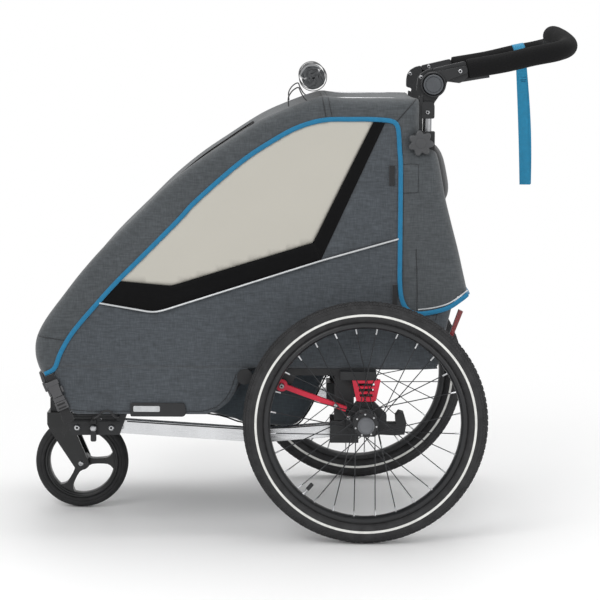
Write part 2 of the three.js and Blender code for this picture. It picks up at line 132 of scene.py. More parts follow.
def even(points, step, closed=False):
    """The same line with points about one step apart, keeping its ends."""
    p = [Vector(q) for q in points] + ([Vector(points[0])] if closed else [])
    runs = [0.0]
    for a, b in zip(p, p[1:]):
        runs.append(runs[-1] + (b - a).length)
    count = max(2, round(runs[-1] / step))
    line, k = [], 0
    for i in range(count + 1):
        target = runs[-1] * i / count
        while k < len(runs) - 2 and runs[k + 1] < target:
            k += 1
        share = (target - runs[k]) / max(runs[k + 1] - runs[k], 1e-9)
        line.append(p[k].lerp(p[k + 1], min(share, 1)))
    return line[:-1] if closed else line


def inside(x, z, outline):
    hit = False
    for (ax, az), (bx, bz) in zip(outline, outline[1:] + outline[:1]):
        if (az > z) != (bz > z) and x < (bx - ax) * (z - az) / (bz - az) + ax:
            hit = not hit
    return hit


def edge_distance(x, z, outline):
    best = 1e9
    for (ax, az), (bx, bz) in zip(outline, outline[1:] + outline[:1]):
        dx, dz = bx - ax, bz - az
        t = min(1, max(0, ((x - ax) * dx + (z - az) * dz) / max(dx * dx + dz * dz, 1e-9)))
        best = min(best, math.hypot(x - ax - t * dx, z - az - t * dz))
    return best


class Shape:
    """One piece's vertices (in millimetres, see at()) and faces, with a material index for each face."""

    def __init__(self):
        self.points, self.faces, self.kinds = [], [], []

    def add(self, points, faces, kind=0):
        base = len(self.points)
        self.points += [tuple(p) for p in points]
        self.faces += [[i + base for i in face] for face in faces]
        self.kinds += [kind] * len(faces)
        return self

    def grid(self, rows, around=False, along=False, kind=0):
        """Quads between rows of points; around closes each row, along joins the last row to the first."""
        wide, long = len(rows[0]), len(rows)
        faces = []
        for i in range(long if along else long - 1):
            for j in range(wide if around else wide - 1):
                k, m = (i + 1) % long, (j + 1) % wide
                faces.append([i * wide + j, i * wide + m, k * wide + m, k * wide + j])
        return self.add([p for row in rows for p in row], faces, kind)

    def turned(self, profile, x=0, y=0, z=0, segments=48, loop=False, axis="Y"):
        """A profile of (radius, height) turned about an axis through the point; loop closes the profile."""
        rows = []
        for i in range(segments):
            a = 2 * math.pi * i / segments
            if axis == "Y":
                rows.append([(x + r * math.cos(a), y + h, z + r * math.sin(a)) for r, h in profile])
            else:
                rows.append([(x + r * math.cos(a), y + r * math.sin(a), z + h) for r, h in profile])
        return self.grid(rows, around=loop, along=True)

    def tube(self, path, radius, sides=10, closed=False, kind=0, normal=(0, -1, 0)):
        """A tube along a path. radius: a number, (along the normal, across it), or a function of the share run."""
        p = [Vector(q) for q in path]
        n, side, rows = len(p), Vector(normal), []
        for i, point in enumerate(p):
            before, after = (p[i - 1], p[(i + 1) % n]) if closed else (p[max(i - 1, 0)], p[min(i + 1, n - 1)])
            ahead = (after - before).normalized()
            if abs(side.dot(ahead)) > 0.97:
                side = Vector((ahead.y, ahead.z, ahead.x))
            side = (side - ahead * side.dot(ahead)).normalized()
            across = ahead.cross(side)
            size = radius(i / (n - 1)) if callable(radius) else radius
            ra, rb = size if isinstance(size, tuple) else (size, size)
            rows.append([point + side * ra * math.cos(t) + across * rb * math.sin(t)
                         for t in (2 * math.pi * k / sides for k in range(sides))])
        self.grid(rows, around=True, along=closed, kind=kind)
        if not closed:
            base = len(self.points) - n * sides
            self.faces += [list(range(base, base + sides))[::-1],
                           list(range(base + (n - 1) * sides, base + n * sides))]
            self.kinds += [kind, kind]
        return self

    def prism(self, outline, y0, y1, kind=0):
        """A side-view outline (x, z) made solid between two Y values."""
        n = len(outline)
        points = [(x, y, z) for y in (y0, y1) for x, z in outline]
        faces = [list(range(n))[::-1], list(range(n, 2 * n))]
        faces += [[i, (i + 1) % n, n + (i + 1) % n, n + i] for i in range(n)]
        return self.add(points, faces, kind)

    def block(self, low, high):
        (x0, y0, z0), (x1, y1, z1) = low, high
        return self.prism([(x0, z0), (x1, z0), (x1, z1), (x0, z1)], y0, y1)

    def filled(self, outline, step, height):
        """A sheet inside a side-view outline (x, z), finely divided, whose Y comes from height(x, z)."""
        edge = [(q[0], q[1]) for q in even([(x, z, 0) for x, z in outline], step, closed=True)]
        x0, x1 = min(q[0] for q in edge), max(q[0] for q in edge)
        z0, z1 = min(q[1] for q in edge), max(q[1] for q in edge)
        inner = []
        for j in range(int((z1 - z0) / step) + 1):
            for i in range(int((x1 - x0) / step) + 1):
                x, z = x0 + (i + 0.5 * (j % 2)) * step, z0 + j * step
                if inside(x, z, edge) and edge_distance(x, z, edge) > 0.6 * step:
                    inner.append((x, z))
        found = delaunay_2d_cdt([Vector(q) for q in edge + inner], [], [list(range(len(edge)))], 1, 1e-4)
        return self.add([(q.x, height(q.x, q.y), q.y) for q in found[0]], [list(f) for f in found[2]])

    def mirrored(self):
        """The same shape on the other side of the middle plane."""
        other = Shape()
        other.points = [(x, -y, z) for x, y, z in self.points]
        other.faces = [face[::-1] for face in self.faces]
        other.kinds = list(self.kinds)
        return other

    def make(self, name, materials, body="chassis", slot=None, replaces=(), bevel=0.0, sharp=38, thick=0.0,
             weld=False):
        mesh = bpy.data.meshes.new(name)
        mesh.from_pydata([at(*p) for p in self.points], [], self.faces)
        materials = materials if isinstance(materials, (list, tuple)) else [materials]
        for look in materials:
            mesh.materials.append(look)
        mesh.polygons.foreach_set("material_index", self.kinds)
        edit = bmesh.new()
        edit.from_mesh(mesh)
        if weld:
            bmesh.ops.remove_doubles(edit, verts=edit.verts, dist=0.05 * MM)
        bmesh.ops.recalc_face_normals(edit, faces=edit.faces)
        edit.to_mesh(mesh)
        edit.free()
        return dress(mesh, name, body, replaces, bevel, sharp, thick)


def dress(mesh, name, body, replaces, bevel, sharp, thick=0.0):
    """Makes an object of a finished mesh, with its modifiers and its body."""
    mesh.polygons.foreach_set("use_smooth", [True] * len(mesh.polygons))
    mesh.set_sharp_from_angle(angle=math.radians(sharp))
    obj = bpy.data.objects.new(name, mesh)
    bpy.context.scene.collection.objects.link(obj)
    if thick:
        shell = obj.modifiers.new("cloth_thickness", "SOLIDIFY")
        shell.thickness, shell.offset = thick * MM, 0
    if bevel:
        edge = obj.modifiers.new("edges", "BEVEL")
        edge.width, edge.segments, edge.limit_method = bevel * MM, 2, "ANGLE"
        edge.angle_limit, edge.harden_normals = math.radians(35), True
    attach(obj, body)
    if replaces:
        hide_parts(*replaces)
    return obj


def refined(node, look, bevel=0.8):
    """The CAD node's own shape with its flat faces joined and its edges rounded."""
    mesh = frame["nodes"][node].data.copy()
    mesh.name = node + "_shell"
    mesh.materials.clear()
    mesh.materials.append(look)
    edit = bmesh.new()
    edit.from_mesh(mesh)
    bmesh.ops.remove_doubles(edit, verts=edit.verts, dist=0.01 * MM)
    bmesh.ops.dissolve_limit(edit, angle_limit=math.radians(2), verts=edit.verts, edges=edit.edges)
    bmesh.ops.recalc_face_normals(edit, faces=edit.faces)
    edit.to_mesh(mesh)
    edit.free()
    return dress(mesh, node + "_shell", BODY_OF[node], [node], bevel, 32)


# ---- materials ----------------------------------------------------------------------------------
def srgb(r, g, b):
    return tuple(c / 12.92 if c <= 0.04045 else ((c + 0.055) / 1.055) ** 2.4
                 for c in (r / 255, g / 255, b / 255))


class Look:
    """A Principled material whose colour, gloss and surface come from small procedural patterns."""

    def __init__(self, name, colour, roughness, metallic=0.0, **sockets):
        self.material = bpy.data.materials.new(name)
        self.material.use_nodes = True
        tree = self.material.node_tree
        self.nodes, self.links = tree.nodes, tree.links
        self.shader = self.nodes["Principled BSDF"]
        self.shader.inputs["Base Color"].default_value = (*colour, 1)
        self.shader.inputs["Roughness"].default_value = roughness
        self.shader.inputs["Metallic"].default_value = metallic
        for key, value in sockets.items():
            self.shader.inputs[key.replace("_", " ")].default_value = value
        self.colour, self.last_bump = (*colour, 1), None
        self.material.diffuse_color = (*colour, 1)
        self.coords = self.nodes.new("ShaderNodeTexCoord").outputs["Object"]

    def mapped(self, stretch):
        mapping = self.nodes.new("ShaderNodeMapping")
        mapping.inputs["Scale"].default_value = stretch
        self.links.new(self.coords, mapping.inputs["Vector"])
        return mapping.outputs["Vector"]

    def noise(self, scale, detail=3.0, stretch=(1, 1, 1)):
        noise = self.nodes.new("ShaderNodeTexNoise")
        noise.inputs["Scale"].default_value, noise.inputs["Detail"].default_value = scale, detail
        self.links.new(self.mapped(stretch), noise.inputs["Vector"])
        return noise.outputs["Fac"]

    def cells(self, scale):
        cells = self.nodes.new("ShaderNodeTexVoronoi")
        cells.inputs["Scale"].default_value = scale
        self.links.new(self.mapped((1, 1, 1)), cells.inputs["Vector"])
        return cells.outputs["Distance"]

    def bands(self, pitch, axis):
        """Soft stripes across one axis, the given number of millimetres apart."""
        wave = self.nodes.new("ShaderNodeTexWave")
        wave.bands_direction = axis
        wave.inputs["Scale"].default_value = 0.314 / (pitch * MM)
        wave.inputs["Distortion"].default_value = 0.0
        self.links.new(self.coords, wave.inputs["Vector"])
        return wave.outputs["Fac"]

    def math(self, operation, a, b):
        node = self.nodes.new("ShaderNodeMath")
        node.operation = operation
        for socket, value in zip(node.inputs, (a, b)):
            if isinstance(value, (int, float)):
                socket.default_value = value
            else:
                self.links.new(value, socket)
        return node.outputs[0]

    def ranged(self, factor, low, high, start=0.0, end=1.0):
        node = self.nodes.new("ShaderNodeMapRange")
        self.links.new(factor, node.inputs["Value"])
        for key, value in zip(("From Min", "From Max", "To Min", "To Max"), (start, end, low, high)):
            node.inputs[key].default_value = value
        return node.outputs["Result"]

    def tint(self, factor, low, high, start=0.3, end=0.7):
        """Multiplies the colour by a number from low to high that follows the pattern."""
        mix = self.nodes.new("ShaderNodeMix")
        mix.data_type, mix.blend_type = "RGBA", "MULTIPLY"
        mix.inputs["Factor"].default_value = 1
        if isinstance(self.colour, tuple):
            mix.inputs[6].default_value = self.colour
        else:
            self.links.new(self.colour, mix.inputs[6])
        self.links.new(self.ranged(factor, low, high, start, end), mix.inputs[7])
        self.colour = mix.outputs[2]
        self.links.new(self.colour, self.shader.inputs["Base Color"])
        return self

    def gloss(self, factor, low, high, start=0.3, end=0.7):
        self.links.new(self.ranged(factor, low, high, start, end), self.shader.inputs["Roughness"])
        return self

    def bump(self, height, distance, strength=1.0):
        """Raises the surface by up to distance (in millimetres) where the pattern is high."""
        bump = self.nodes.new("ShaderNodeBump")
        bump.inputs["Distance"].default_value, bump.inputs["Strength"].default_value = distance * MM, strength
        self.links.new(height, bump.inputs["Height"])
        if self.last_bump:
            self.links.new(self.last_bump, bump.inputs["Normal"])
        self.last_bump = bump.outputs["Normal"]
        self.links.new(self.last_bump, self.shader.inputs["Normal"])
        return self


def melange(name, colour, depth, pitch=1.1, sheen=0.25):
    """Cloth of mixed light and dark yarns: short streaks both ways, a woven surface and a soft sheen."""
    look = Look(name, colour, 0.88, Sheen_Weight=sheen, Sheen_Roughness=0.6, Specular_IOR_Level=sheen)
    look.tint(look.noise(160, 4, (0.35, 1, 2.2)), 1 - depth, 1 + depth)
    look.tint(look.noise(230, 3, (2.4, 1, 0.3)), 1 - 0.8 * depth, 1 + 0.8 * depth)
    look.tint(look.noise(6, 3), 0.93, 1.06)
    weave = look.math("ADD", look.math("ADD", look.bands(pitch, "X"), look.bands(pitch, "Z")),
                      look.bands(pitch, "Y"))
    look.bump(weave, 0.12, 0.7)
    look.bump(look.noise(45, 4), 0.35, 0.5)
    return look.material


def moulded(name, colour, roughness, grain=420, depth=0.05):
    """Injection-moulded plastic with a fine spark-eroded grain and faint handling marks."""
    look = Look(name, colour, roughness, Specular_IOR_Level=0.45)
    look.bump(look.noise(grain * 3, 2), depth, 0.5)
    look.gloss(look.noise(38, 4), roughness - 0.08, roughness + 0.1)
    look.tint(look.noise(22, 3), 0.85, 1.15)
    return look.material


def metal(name, colour, roughness, stretch, depth=0.03):
    """Metal with fine drawn lines along one direction."""
    look = Look(name, colour, roughness, 1.0, Anisotropic=0.4)
    lines = look.noise(700, 3, stretch)
    look.gloss(lines, roughness - 0.06, roughness + 0.12)
    look.bump(lines, depth, 0.5)
    look.tint(look.noise(14, 3), 0.9, 1.06)
    return look.material


def rubber(name, colour, roughness=0.8):
    look = Look(name, colour, roughness, Specular_IOR_Level=0.3)
    look.bump(look.noise(900, 3), 0.08, 0.6)
    look.tint(look.noise(60, 4), 0.8, 1.25)
    look.gloss(look.noise(25, 3), roughness - 0.1, roughness + 0.08)
    return look.material


def webbing(name, colour, pitch=1.6, axis="X"):
    """Woven tape: fine ribs across the tape and a slight sheen."""
    look = Look(name, colour, 0.7, Sheen_Weight=0.3, Sheen_Roughness=0.4)
    ribs = look.bands(pitch, axis)
    # painted shade: the colour is darker in the troughs between the ribs
    look.tint(ribs, 0.8, 1.12, 0, 1)
    look.bump(look.math("ADD", ribs, look.bands(pitch * 1.3, "Z")), 0.25, 0.8)
    look.tint(look.noise(90, 3), 0.93, 1.07)
    return look.material


def foam_look(name, colour):
    look = Look(name, colour, 0.92, Specular_IOR_Level=0.25)
    look.bump(look.cells(900), 0.25, 0.8)
    look.bump(look.noise(120, 4), 0.3, 0.4)
    look.tint(look.cells(700), 0.7, 1.3, 0.1, 0.7)
    return look.material


def mesh_screen(name, colour, pitch, alpha=1.0):
    """Knitted mesh: a grid of round holes, painted darker as the shade inside the pits."""
    look = Look(name, colour, 0.75, Alpha=alpha, Sheen_Weight=0.2)
    holes = look.math("MULTIPLY", look.math("MULTIPLY", look.bands(pitch, "X"), look.bands(pitch, "Z")),
                      look.math("ADD", look.bands(pitch, "Y"), 0.4))
    # painted shade: the colour is darkened in the holes, where shade falls inside the mesh
    look.tint(holes, 2.4, 0.35, 0.1, 0.7)
    look.bump(holes, 0.5, 0.8)
    return look.material


def film(name, colour):
    """Matt window film with a faint orange-peel surface."""
    look = Look(name, colour, 0.42, Specular_IOR_Level=0.3)
    look.bump(look.noise(9, 3), 1.2, 0.35)
    look.tint(look.noise(3, 3), 0.985, 1.015)
    look.bump(look.noise(500, 2), 0.03, 0.3)
    return look.material


def beads(name, colour):
    """Retro-reflective tape: pale grey with a fine bead grain."""
    look = Look(name, colour, 0.35, 0.35)
    look.bump(look.cells(1500), 0.05, 0.6)
    look.tint(look.noise(80, 3), 0.9, 1.08)
    return look.material


def lens_look(name, colour):
    look = Look(name, colour, 0.15, Coat_Weight=0.6, Coat_Roughness=0.08, Specular_IOR_Level=0.6)
    prisms = look.math("MULTIPLY", look.bands(3.2, "Z"), look.bands(3.2, "X"))
    # painted glints: the prism pattern brightens and darkens the lens colour as light on the prisms would
    look.tint(prisms, 0.55, 1.9, 0, 1)
    look.bump(prisms, 0.5, 0.8)
    return look.material


BUCKLE = moulded("buckle_acetal", srgb(70, 70, 72), 0.38)
GREY = melange("grey_melange", srgb(66, 70, 73), 0.22)
GREY_SIDE = melange("grey_melange_side", srgb(64, 69, 74), 0.24)
DARK = melange("dark_melange", srgb(52, 60, 66), 0.18)
BLACK_CLOTH = melange("black_cloth", srgb(14, 14, 15), 0.12, sheen=0.05)
LINING = melange("black_lining", srgb(30, 31, 33), 0.12)
MESH = mesh_screen("black_spacer_mesh", srgb(26, 27, 28), 4.6)
SCREEN = mesh_screen("insect_screen", srgb(22, 23, 24), 1.6, 0.62)
WINDOW = film("window_film", srgb(180, 177, 168))
ROLL_FILM = film("rolled_film", srgb(96, 98, 100))
BLUE = webbing("blue_tape", srgb(2, 112, 154), 1.2)
STRAP_BLUE = webbing("blue_webbing", srgb(16, 126, 166), 1.5, "Z")
STRAP_BLACK = webbing("black_webbing", srgb(22, 22, 24), 1.6)
THREAD_DARK = webbing("dark_thread", srgb(28, 30, 33), 0.9)
REFLECTIVE = beads("reflective_piping", srgb(188, 190, 192))
STRIPE = beads("tyre_stripe", srgb(226, 226, 222))
PLASTIC = moulded("black_nylon", srgb(30, 31, 33), 0.5)
GLOSS_BLACK = moulded("black_gloss", srgb(24, 25, 26), 0.32, 500, 0.02)
CAP = moulded("grey_cap", srgb(98, 100, 104), 0.48)
RED = moulded("crimson_elastomer", srgb(196, 30, 58), 0.4, 300, 0.04)
ALU = metal("brushed_aluminium", srgb(214, 215, 217), 0.24, (0.06, 1, 1))
STEEL = metal("zinc_steel", srgb(190, 191, 193), 0.28, (1, 1, 1))
BLACK_TUBE = moulded("black_powder_coat", srgb(28, 29, 31), 0.42, 650, 0.04)
GREY_TUBE = metal("grey_anodised", srgb(150, 151, 153), 0.3, (1, 1, 0.06))
RIM_BLACK = moulded("black_anodised", srgb(30, 31, 33), 0.34, 800, 0.01)
SPOKE = metal("black_spoke", srgb(62, 63, 65), 0.34, (1, 1, 1), 0.0)
TYRE_LOOK = rubber("tyre_rubber", srgb(48, 48, 49))
CASTER_RUBBER = rubber("caster_rubber", srgb(36, 36, 37), 0.7)
FOAM = foam_look("grip_foam", srgb(12, 12, 13))
LENS = lens_look("red_lens", srgb(120, 8, 12))
CAP_DARK = moulded("dark_cap", srgb(72, 75, 79), 0.5)
KNOB = moulded("knob_nylon", srgb(66, 67, 69), 0.5)
THREAD_BLUE = webbing("blue_thread", srgb(12, 90, 130), 0.8)


# ---- stage --------------------------------------------------------------------------------------
def add_stage():
    """A pale floor that fades into the white surroundings, and soft studio light."""
    floor = bpy.data.materials.new("floor")
    floor.use_nodes = True
    nodes, links = floor.node_tree.nodes, floor.node_tree.links
    paint = nodes["Principled BSDF"]
    paint.inputs["Base Color"].default_value = (0.93, 0.93, 0.93, 1)
    paint.inputs["Roughness"].default_value = 0.55
    glow, mix = nodes.new("ShaderNodeEmission"), nodes.new("ShaderNodeMixShader")
    glow.inputs["Strength"].default_value = 1.0
    spot, length, far = (nodes.new(f"ShaderNode{kind}") for kind in ("TexCoord", "VectorMath", "MapRange"))
    length.operation = "LENGTH"
    links.new(spot.outputs["Object"], length.inputs[0])
    links.new(length.outputs["Value"], far.inputs["Value"])
    far.interpolation_type = "SMOOTHSTEP"
    far.inputs["From Min"].default_value, far.inputs["From Max"].default_value = 0.62, 2.0
    links.new(far.outputs["Result"], mix.inputs[0])
    links.new(paint.outputs[0], mix.inputs[1])
    links.new(glow.outputs[0], mix.inputs[2])
    links.new(mix.outputs[0], nodes["Material Output"].inputs["Surface"])
    mesh = bpy.data.meshes.new("floor")
    half = 40
    mesh.from_pydata([(-half, -half, 0), (half, -half, 0), (half, half, 0), (-half, half, 0)], [],
                     [[0, 1, 2, 3]])
    mesh.materials.append(floor)
    plane = bpy.data.objects.new("floor", mesh)
    plane.location.z = -0.0005
    bpy.context.scene.collection.objects.link(plane)

    world = bpy.context.scene.world or bpy.data.worlds.new("studio")
    bpy.context.scene.world = world
    world.use_nodes = True
    nodes, links = world.node_tree.nodes, world.node_tree.links
    sky, path, pick = nodes["Background"], nodes.new("ShaderNodeLightPath"), nodes.new("ShaderNodeMapRange")
    sky.inputs["Color"].default_value = (1, 1, 1, 1)
    links.new(path.outputs["Is Camera Ray"], pick.inputs["Value"])
    pick.inputs["To Min"].default_value, pick.inputs["To Max"].default_value = WORLD_LIGHT, 1.0
    links.new(pick.outputs["Result"], sky.inputs["Strength"])
    for name, place, power, size in LAMPS:
        data = bpy.data.lights.new(name, "AREA")
        data.shape, data.size, data.energy = "DISK", size, power
        lamp = bpy.data.objects.new(name, data)
        lamp.location = place
        lamp.rotation_euler = (LAMPS_AIM - Vector(place)).to_track_quat("-Z", "Y").to_euler()
        bpy.context.scene.collection.objects.link(lamp)
    bpy.context.scene.view_settings.view_transform = "Standard"


WORLD_LIGHT = 0.74
LAMPS_AIM = Vector((0, 0, 0.45))
LAMPS = (("key", (-2.2, -3.4, 3.4), 78, 2.6), ("fill", (3.2, -2.6, 1.6), 30, 2.8),
         ("top", (0.3, 0.6, 3.6), 42, 2.6))


# ---- pin tether ---------------------------------------------------------------------------------
# The rubber cord that keeps the drawbar pin: from its tab on the pin to the bracket's upper edge.
TETHER_ROUTE = [(-555, -225, 232), (-554, -236, 240), (-550, -255, 244), (-542, -269, 250),
                (-530, -271, 260),
                (-517, -271, 260), (-508, -269, 250), (-503, -252, 246), (-500, -232, 249),
                (-498, -219, 251)]
TETHER_D = 5


def add_tether():
    tab = Shape().prism([(-561, 224.5), (-549, 224.5), (-549, 233), (-551, 236), (-559, 236), (-561, 233)],
                        -227.5, -223.5).make("pin_tether_tab", PLASTIC, "drawbar_pin", "plastic", bevel=0.8)
    line = spline(TETHER_ROUTE, 6)
    length = sum((b - a).length for a, b in zip(line, line[1:])) * MM
    cord = Shape().tube(line, TETHER_D / 2, 10).make("pin_tether_cord", PLASTIC, "drawbar_pin", "plastic",
                                                     ["pin_tether"])
    [at(*p) for p in line]


# ---- main wheels --------------------------------------------------------------------------------
TYRE = {"centre": 224.5, "r": 22.3, "stripe": 220.8}
SKIN_R = TYRE["r"] - 1.2  # the skin between the tread blocks
RIM_R, NIPPLE_R, FLANGE_R, FLANGE_Y = 193.0, 181.0, 21.5, 21
SPOKES = 28
KNOBS = 248
VALVE_ANGLE = math.atan2(-62.7, -53.0)


def torus_point(angle, tilt, lift, side=1):
    """A point on the tyre: angle round the wheel, tilt round its section (0 at the crown), lift outwards."""
    reach = TYRE["centre"] + (SKIN_R + lift) * math.cos(tilt)
    y = (SKIN_R + lift) * math.sin(tilt) * side
    return (reach * math.cos(angle), y, WHEEL_Z + reach * math.sin(angle))


def tread_block(shape, angle, half, tilt0, tilt1, height, side, lean=0.0):
    """One tread block, a low wedge that stands on the tyre's skin."""
    corners = []
    for lift, inset in ((-0.6, 0.0), (height, 0.18)):
        for a, t in ((-1, 0), (1, 0), (1, 1), (-1, 1)):
            tilt = tilt0 + (tilt1 - tilt0) * (t + inset * (0.5 - t) * 0.8)
            turn = angle + a * half * (1 - inset) + lean * t
            corners.append(torus_point(turn, tilt, lift, side))
    shape.add(corners, [[4, 5, 6, 7], [0, 1, 5, 4], [1, 2, 6, 5], [2, 3, 7, 6], [3, 0, 4, 7]])


def on_track(shape, side):
    """Moves a wheel's shape drawn round Y = 0 to its track, with its outer face outwards."""
    shape.points = [(x, side * (TRACK_HALF + y), z) for x, y, z in shape.points]
    return shape


def add_wheel(hand):
    side = SIDES[hand]
    body = f"wheel_{hand}"
    tyre = Shape()
    section = []
    for k in range(45):
        a = math.radians(-152 + 304 * k / 44)
        section.append((TYRE["centre"] + SKIN_R * math.cos(a), SKIN_R * math.sin(a)))
    bead = [(203.5, 13.4), (201.9, 12.6), (201.9, -12.6), (203.5, -13.4)]
    tyre.turned([(r, y) for r, y in section + bead], z=WHEEL_Z, segments=144, loop=True)
    pitch = 2 * math.pi / KNOBS
    for k in range(KNOBS):
        a = k * pitch
        for s in (-1, 1):
            tread_block(tyre, a, pitch * 0.3, math.radians(46), math.radians(62), 1.1, s)
            tread_block(tyre, a + pitch / 2, pitch * 0.34, math.radians(22), math.radians(41), 1.3, s,
                        pitch * 0.3)
            if k % 2 == 0:
                tread_block(tyre, a, pitch * 0.7, math.radians(2), math.radians(18), 1.3, s,
                            pitch * 0.5 * s)
    on_track(tyre, side).make(f"tyre_{hand}_rubber", TYRE_LOOK, body, "tyre", [f"tyre_{hand}"], sharp=30)
    marks = Shape()
    for s in (-1, 1):
        lines = [(TYRE["stripe"] + d, s * (math.sqrt(max((SKIN_R + h) ** 2 - (TYRE["stripe"] + d
                 - TYRE["centre"]) ** 2, 0)))) for d,
                 h in ((-2.6, -0.3), (-2.0, 0.45), (2.0, 0.45), (2.6, -0.3))]
        marks.turned(lines, z=WHEEL_Z, segments=144, loop=True)
    on_track(marks, side).make(f"tyre_{hand}_stripe", STRIPE, body, "tyre")
    ridges = Shape()
    for s in (-1, 1):
        for reach in (208.5, 229.5):
            y = s * math.sqrt(SKIN_R ** 2 - (reach - TYRE["centre"]) ** 2)
            ridges.turned([(reach - 0.8, y - 0.1 * s), (reach, y + 0.7 * s), (reach + 0.8, y - 0.1 * s),
                           (reach, y - 0.8 * s)], z=WHEEL_Z, segments=144, loop=True)
    on_track(ridges, side).make(f"tyre_{hand}_ridges", TYRE_LOOK, body, "tyre")

    rim = Shape()
    rim.turned([(203.2, 13.1), (203.2, 11.6), (200.9, 11.4), (198.5, 9.5), (198.5, -9.5), (200.9, -11.4),
                (203.2, -11.6), (203.2, -13.1), (201.5, -13.8), (196.2, -13.0), (193.6, -10.0), (191.9, -5),
                (191.6, 0), (191.9, 5), (193.6, 10.0), (196.2, 13.0), (201.5, 13.8)], z=WHEEL_Z,
                segments=144, loop=True)
    hub = [(6.6, -27.4), (15.5, -27.4), (16.5, -26.2), (16.5, -24.5), (24.2, -23), (25, -22), (25, -20.4),
           (24, -19.8),
           (13, -17.5), (11.2, -13), (11.2, 13), (13, 17.5), (24, 19.8), (25, 20.4), (25, 22), (24.2, 23),
           (16.5, 24.5), (16.5, 25.4), (15.5, 26), (6.6, 26)]
    rim.turned(hub, z=WHEEL_Z, segments=40, loop=True)
    on_track(rim, side).make(f"rim_{hand}", RIM_BLACK, body, "rim", [f"spoked_rim_{hand}"], sharp=28)

    wires, ends = Shape(), Shape()
    for k in range(SPOKES):
        s = 1 if k % 2 else -1
        at_rim = 2 * math.pi * (k + 0.5) / SPOKES + math.pi / 2
        swing = math.radians(62) * (1 if (k // 2) % 2 else -1)
        at_hub = at_rim + swing
        y_hub = s * (FLANGE_Y + (1.6 if (k // 2) % 2 else -0.6))
        a = Vector((FLANGE_R * math.cos(at_hub), y_hub, FLANGE_R * math.sin(at_hub)))
        b = Vector((RIM_R * math.cos(at_rim), s * 2.2, RIM_R * math.sin(at_rim)))
        lift = Vector((0, 0, WHEEL_Z))
        ahead = (b - a).normalized()
        elbow = [a - Vector((0, s * 2.6, 0)), a, a + ahead * 3]
        wires.tube([p + lift for p in elbow + [a.lerp(b, 0.5), b]], 1.05, 6)
        nip0 = b - ahead * (RIM_R - NIPPLE_R)
        ends.tube([nip0 + lift, nip0 + ahead * 9 + lift, b + lift], lambda t: 1.7 if t < 0.7 else 2.4, 8)
        ends.tube([a + Vector((0, s * 0.4, 0)) + lift, a + Vector((0, s * 1.5, 0)) + lift], 1.9, 8)
    on_track(wires, side).make(f"spokes_{hand}", SPOKE, body, "rim", sharp=60)
    on_track(ends, side).make(f"nipples_{hand}", STEEL, body, "steel", sharp=40)

    valve = Shape()
    out = Vector((math.cos(VALVE_ANGLE), 0, math.sin(VALVE_ANGLE)))
    hub_at = Vector((0, 0, WHEEL_Z))
    valve.tube([hub_at + out * r for r in (194, 188, 187.9, 177)],
               lambda t: 4.2 if t < 0.3 else 3.1, 12, kind=0, normal=(0, 1, 0))
    valve.tube([hub_at + out * r for r in (180, 179.5, 166, 164)],
               lambda t: 3.2 if t < 0.1 or t > 0.9 else 4.2, 12, kind=1, normal=(0, 1, 0))
    on_track(valve, side).make(f"valve_{hand}", [STEEL, PLASTIC], body, "rim", sharp=50)

    y0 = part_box(f"hub_button_{hand}")[0 if side < 0 else 1].y / MM
    button = Shape()
    cap = [(0.01, 0.3), (8, 0), (12.4, 0.2), (12.8, 0.9), (13.6, 0.9), (14, 0.4), (15.6, 1.5), (16.8, 3.6),
           (17, 5.6),
           (17, 8.6), (5.8, 8.8), (5.8, 15), (0.01, 15)]
    button.turned([(r, y0 - side * h) for r, h in cap], z=WHEEL_Z, segments=48)
    button.make(f"hub_button_{hand}_cap", CAP, f"hub_button_{hand}", "cap_plastic", [f"hub_button_{hand}"],
                sharp=40)


# ---- cabin fabric -------------------------------------------------------------------------------
LOW_HALF, HIGH_HALF, LOW_Z, HIGH_Z = 258, 228, 330, 880
SPLIT_Z = 349
SOFT = []  # pieces that finish_folds gives their own mesh


def half_width(x, z):
    """Half the cabin's width: it narrows upwards and dips round the height clamps' star knobs."""
    plain = LOW_HALF + (z - LOW_Z) * (HIGH_HALF - LOW_HALF) / (HIGH_Z - LOW_Z)
    dip = 12 * math.exp(-((x - 114) / 42) ** 2 - ((z - 805) / 38) ** 2)
    return plain - dip


def ripple(x, y, z, size=1.0):
    """Small soft waves of stretched cloth, in millimetres."""
    wide = noise.noise(Vector((x / 95, y / 95, z / 60)))
    fine = noise.noise(Vector((x / 34 + 7, y / 34, z / 22)))
    return size * (1.3 * wide + 0.5 * fine)


FRONT_SEAM = [(-650, 334), (-630, 346), (-617, 379), (-591, 422), (-541, 481), (-502, 524), (-452, 574),
              (-379, 648), (-343, 687), (-255, 764), (-190, 808), (-140, 835), (-88, 850), (-30, 852),
              (14, 852),
              (44, 850)]
REAR_SEAM = [(44, 850), (57, 845), (63, 830), (66, 790), (68, 761), (68.5, 690), (68.5, 590), (69, 520),
             (74, 487), (86, 468), (106, 461), (138, 465), (168, 474), (192, 490), (206, 501)]
PANEL_EDGE = spline([(x, z, 0) for x, z in FRONT_SEAM], 6) + spline([(x, z, 0) for x, z in REAR_SEAM],
                                                                    5)[1:]
PANEL_EDGE = [(q.x, q.y) for q in PANEL_EDGE]
BAND_LOW = [(-539, 479), (-432, 461), (-413, 464), (-92, 567), (68.5, 613)]
PANE = [(-502, 524), (-394, 514), (-107, 603), (14, 850)]
SKIRT = [(-236, 349), (-250, 336), (-257, 318), (-264, 298), (-276, 280), (-294, 265), (-321, 254),
         (-588, 253),
         (-597, 258), (-617, 298), (-630, 338), (-628, 349)]


def seam_part(x0, z0, x1, z1):
    """The run of the panel's edge between the points nearest to two places, ends included."""
    near = [min(range(len(PANEL_EDGE)), key=lambda i: math.dist(PANEL_EDGE[i], q))
            for q in ((x0, z0), (x1, z1))]
    a, b = near
    run = PANEL_EDGE[a:b + 1] if a <= b else PANEL_EDGE[b:a + 1][::-1]
    return run


